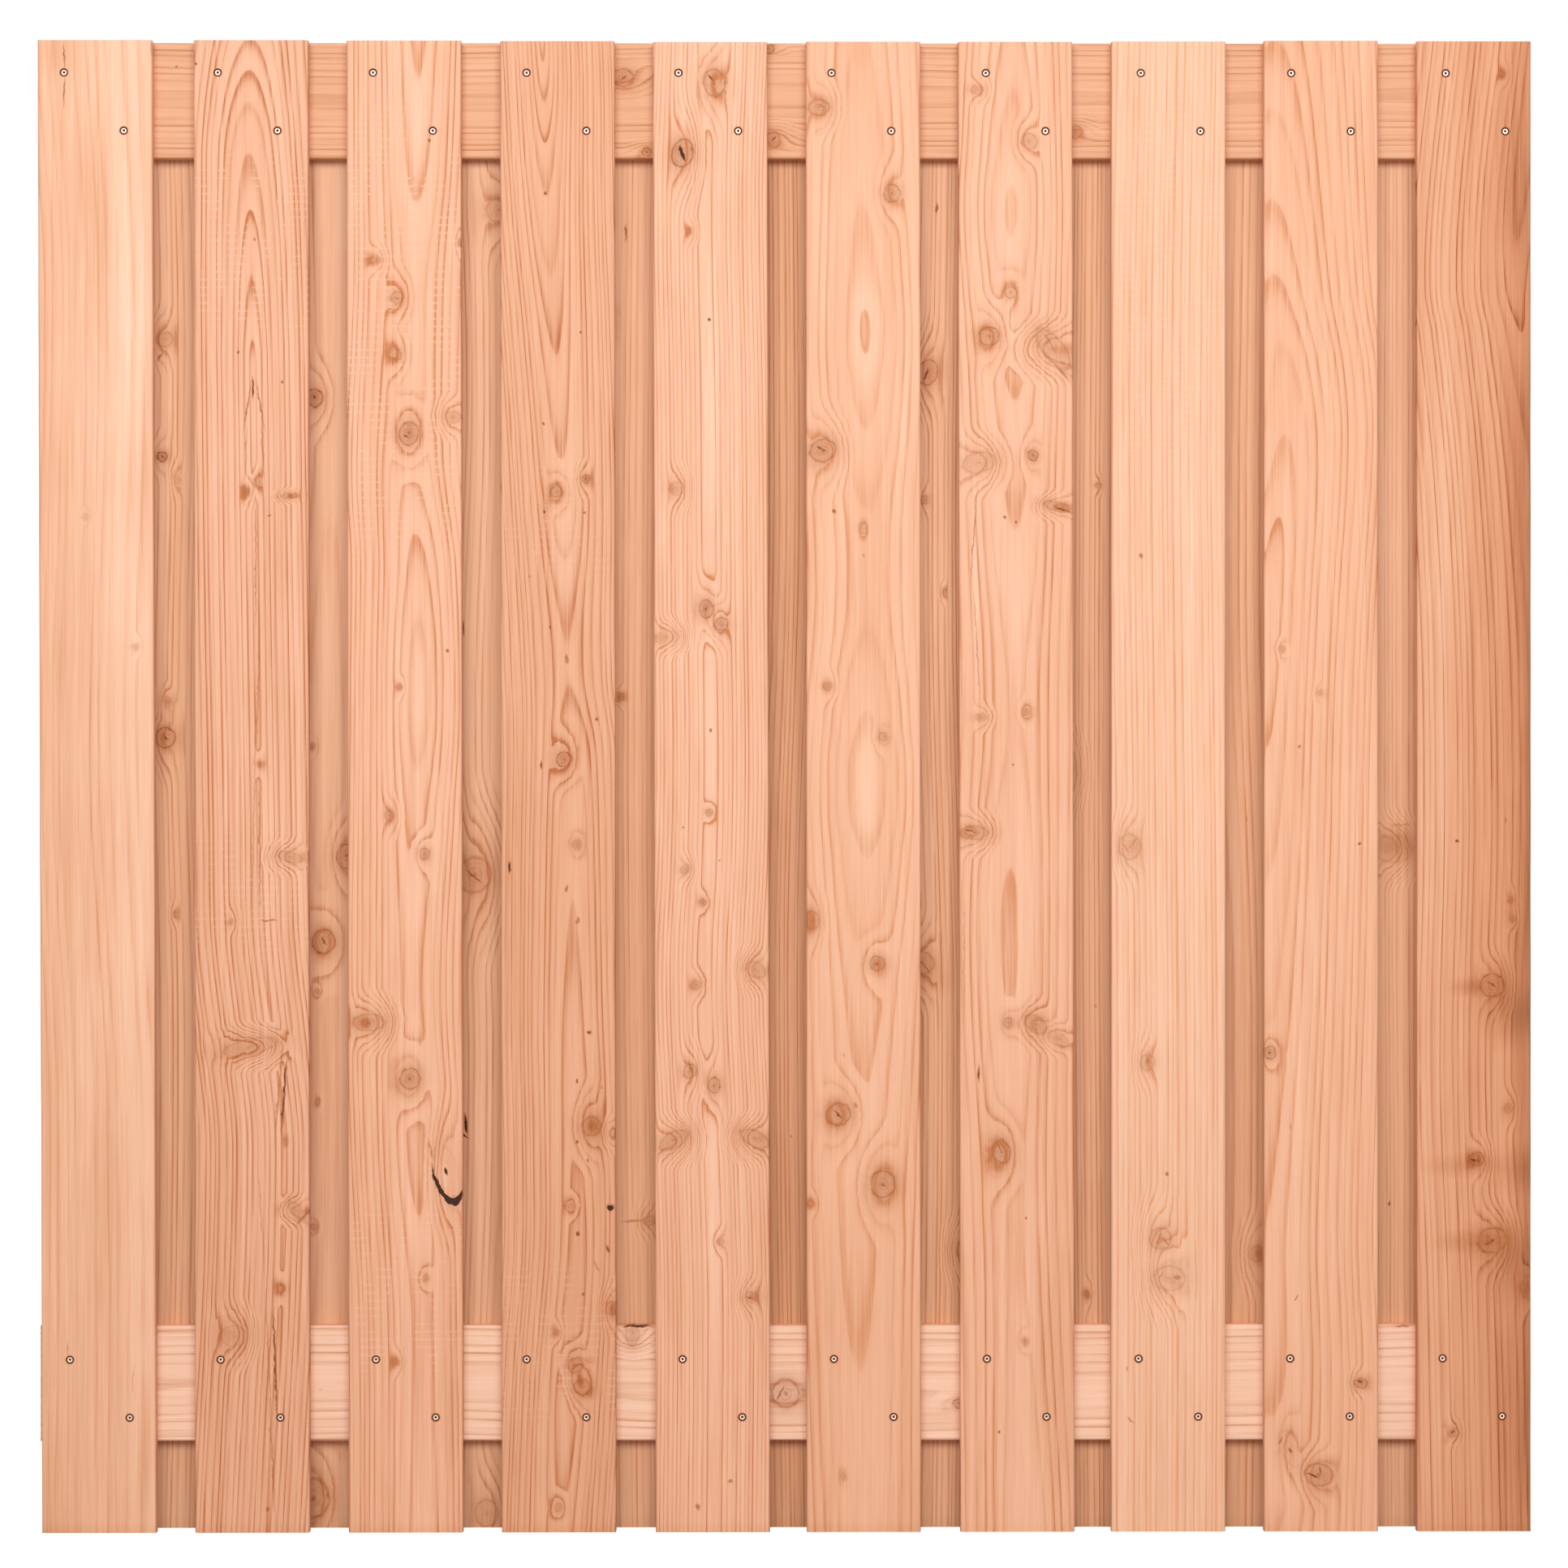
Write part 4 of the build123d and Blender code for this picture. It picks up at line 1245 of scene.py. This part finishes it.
for name in [n for n in looks if "board" in n]:
    low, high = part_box(name)
    quarter = (high.z - low.z) / len(lengths_of_board)
    finishes = board_finishes(name, low, quarter)
    foot_left, foot_right = end_corners(name, low.z)
    head_left, head_right = end_corners(name, high.z)
    rows = [row for row in screw_rows if row.startswith(name.split("_")[0])]
    marks = marks_object(name, rows, lambda mark: low.x < mark.x < high.x)
    dials = {
        "Width": foot_right - foot_left,
        "Thickness": high.y - low.y,
        "Length": high.z - low.z,
        "Edge radius": edge_radius,
        "Foot shift": (foot_left + foot_right) / 2,
        "Head shift": (head_left + head_right) / 2,
        "Wear": edge_wear,
        "Steps": round((high.z - low.z) / step_length),
        "Seed": float(looks[name]["seed"]),
        "Place": (0.0, (low.y + high.y) / 2, low.z),
        "Turn": (0.0, 0.0, 0.0),
        "Cutter": hole_cutter,
        "Finish": finishes[0],
    }
    mesh = grow(marks, planed_wood, dials)
    mesh.materials.clear()
    for finish in finishes:
        mesh.materials.append(finish)
    for face in mesh.polygons:
        face.material_index = min(int((face.center.z - low.z) / quarter), len(finishes) - 1)
    finish_piece(name, mesh)

# %% [markdown]
# ## The rails
# The rails are two more lengths from the same planer, laid flat. Their tree is the boards' tree, turned a
# quarter round, and the screws of both rows go into them.

# %% Make the rails
whole_length = (-1.0, 3.0)
for name in ("top_rail", "bottom_rail"):
    low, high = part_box(name)
    marks = marks_object(name, list(screw_rows), lambda mark: low.z < mark.z < high.z)
    dials = {
        "Width": high.z - low.z,
        "Thickness": high.y - low.y,
        "Length": high.x - low.x,
        "Edge radius": edge_radius,
        "Foot shift": 0.0,
        "Head shift": 0.0,
        "Wear": edge_wear / 3,
        "Steps": round((high.x - low.x) / step_length),
        "Seed": float(looks[name]["seed"]),
        "Place": (low.x, (low.y + high.y) / 2, (low.z + high.z) / 2),
        "Turn": (0.0, math.pi / 2, 0.0),
        "Cutter": hole_cutter,
        "Finish": wood_material(name + "_wood", looks[name], whole_length),
    }
    finish_piece(name, grow(marks, planed_wood, dials))

# %% [markdown]
# ## Stainless steel
# The heads are bright but not polished: stamped, brushed by the driver, with a painted shade in the recess
# and round the rim. A metal takes its colour from what it mirrors, so the shade of the steel is quiet and
# the roughness does the work.

# %% The steel of the screws
steel = bpy.data.materials.new("screw_steel_with_painted_shade")
steel.use_nodes = True
tree = steel.node_tree
shader = tree.nodes["Principled BSDF"]
place = put(tree, "ShaderNodeTexCoord").outputs["Object"]
scratches = clouds(tree, place, 3.0, 2600.0)
shade = blend_colours(tree, scratches, paint(208, 190, 174), paint(242, 228, 214))
from_middle = maths(tree, "ABSOLUTE", split(tree, place)["Y"])
# painted shade: below the top face of the head, in the star recess and on the rim, the steel is dark brown,
# rough and not metallic
recess_and_rim_shade = fade(tree, from_middle, head_face - 0.0003, head_face - 0.00005, 1.0, 0.0)
plug(tree, shader.inputs["Base Color"], blend_colours(tree, recess_and_rim_shade, shade, paint(118, 56, 28)))
worn = fade(tree, scratches, 0.3, 0.7, 0.3, 0.5)
plug(tree, shader.inputs["Roughness"], maths(tree, "MAXIMUM", worn, recess_and_rim_shade))
plug(tree, shader.inputs["Metallic"], fade(tree, recess_and_rim_shade, 0.0, 1.0, 1.0, 0.0))
print("steel with", len(tree.nodes), "nodes")

# %% [markdown]
# ## Driving the screws
# Every screw is the same, so one master is put on all the marks. Nobody stops a driver at the same turn
# twice: a random turn with a fixed seed spins each screw about its own axis.

# %% The screw tree
inputs = [("Marks", "Geometry"), ("Screw", "Object"), ("Seed", "Int"), ("Finish", "Material")]
tree, come, go = new_group("driven_screws", "GeometryNodeTree", inputs, [("Screws", "Geometry")])
driven_screws = tree
driven_screws.is_modifier = True
turns = {2: 0.0, 3: 2 * math.pi, "Seed": come["Seed"]}
spin = put(tree, "FunctionNodeRandomValue", {"data_type": "FLOAT"}, turns).outputs[1]
screws = instances_on_marks(tree, come["Marks"], come["Screw"], spin)
plug(tree, go["Screws"], node_step(tree, "SetMaterial", Geometry=screws, Material=come["Finish"]))

# %% Drive the screws
for seed, row in enumerate(screw_rows):
    marks = marks_object(row, [row], lambda mark: True)
    dials = {"Screw": screw_master, "Seed": seed, "Finish": steel}
    finish_piece(row, grow(marks, driven_screws, dials))
bpy.data.objects.remove(screw_master)
bpy.data.objects.remove(hole_cutter)

# %% [markdown]
# ## Studio
# The photograph is cut out on white. Here a pale floor and a pale world stand in for it: the camera sees
# both as white, and so do the bright screw heads, but the light that they send to the wood stays at a
# plain level. Two large soft lamps hang in front, a little above the panel, so the wood is lit evenly and
# the gaps between the boards go darker towards their edges. A third lamp lights the back for the views
# from behind.

# %% The world
seen_white = 1.0
world_light = 0.35
world = bpy.data.worlds.new("studio")
bpy.context.scene.world = world
world.use_nodes = True
world.cycles.sampling_method = "NONE"
tree = world.node_tree
rays = put(tree, "ShaderNodeLightPath").outputs
mirrored = maths(tree, "MAXIMUM", rays["Is Glossy Ray"], rays["Is Transmission Ray"])
white_share = maths(tree, "MAXIMUM", rays["Is Camera Ray"], mirrored)
level = maths(tree, "MULTIPLY_ADD", white_share, seen_white - world_light, world_light)
plug(tree, tree.nodes["Background"].inputs["Strength"], level)
tree.nodes["Background"].inputs["Color"].default_value = (1.0, 1.0, 1.0, 1.0)
print("the world lights with", world_light, "and is seen as", seen_white)

# %% The floor
floor_half = 30.0
corners = [(x * floor_half, y * floor_half, 0.0) for x, y in ((-1, -1), (1, -1), (1, 1), (-1, 1))]
floor_mesh = bpy.data.meshes.new("floor")
floor_mesh.from_pydata(corners, [], [(0, 1, 2, 3)])
floor = bpy.data.objects.new("floor", floor_mesh)
bpy.context.scene.collection.objects.link(floor)
floor_paint = bpy.data.materials.new("floor_paint")
floor_paint.use_nodes = True
tree = floor_paint.node_tree
shader = tree.nodes["Principled BSDF"]
shader.inputs["Base Color"].default_value = (0.45, 0.45, 0.45, 1.0)
shader.inputs["Roughness"].default_value = 0.9
shader.inputs["Specular IOR Level"].default_value = 0.0
shader.inputs["Emission Color"].default_value = (1.0, 1.0, 1.0, 1.0)
rays = put(tree, "ShaderNodeLightPath").outputs
white_share = maths(tree, "MAXIMUM", rays["Is Camera Ray"], rays["Is Glossy Ray"])
plug(tree, shader.inputs["Emission Strength"], maths(tree, "MULTIPLY", white_share, 0.9))
floor_mesh.materials.append(floor_paint)
print("floor of", 2 * floor_half, "m")

# %% The lamps
lamp_target = Vector((0.0, 0.0, panel_height / 2))


def soft_lamp(name, place, size, power):
    """A large square lamp that looks at the middle of the panel."""
    data = bpy.data.lights.new(name, "AREA")
    data.shape = "SQUARE"
    data.size = size
    data.energy = power
    lamp = bpy.data.objects.new(name, data)
    lamp.location = place
    lamp.rotation_euler = (lamp_target - Vector(place)).to_track_quat("-Z", "Y").to_euler()
    bpy.context.scene.collection.objects.link(lamp)
    print(name, power, "W")


soft_lamp("left_lamp", (-1.8, -6.1, 4.3), 3.2, 194.0)
soft_lamp("right_lamp", (1.8, -6.1, 4.3), 3.2, 194.0)
soft_lamp("back_lamp", (0.0, 6.0, 3.4), 3.6, 300.0)
bpy.context.scene.view_settings.view_transform = "Standard"
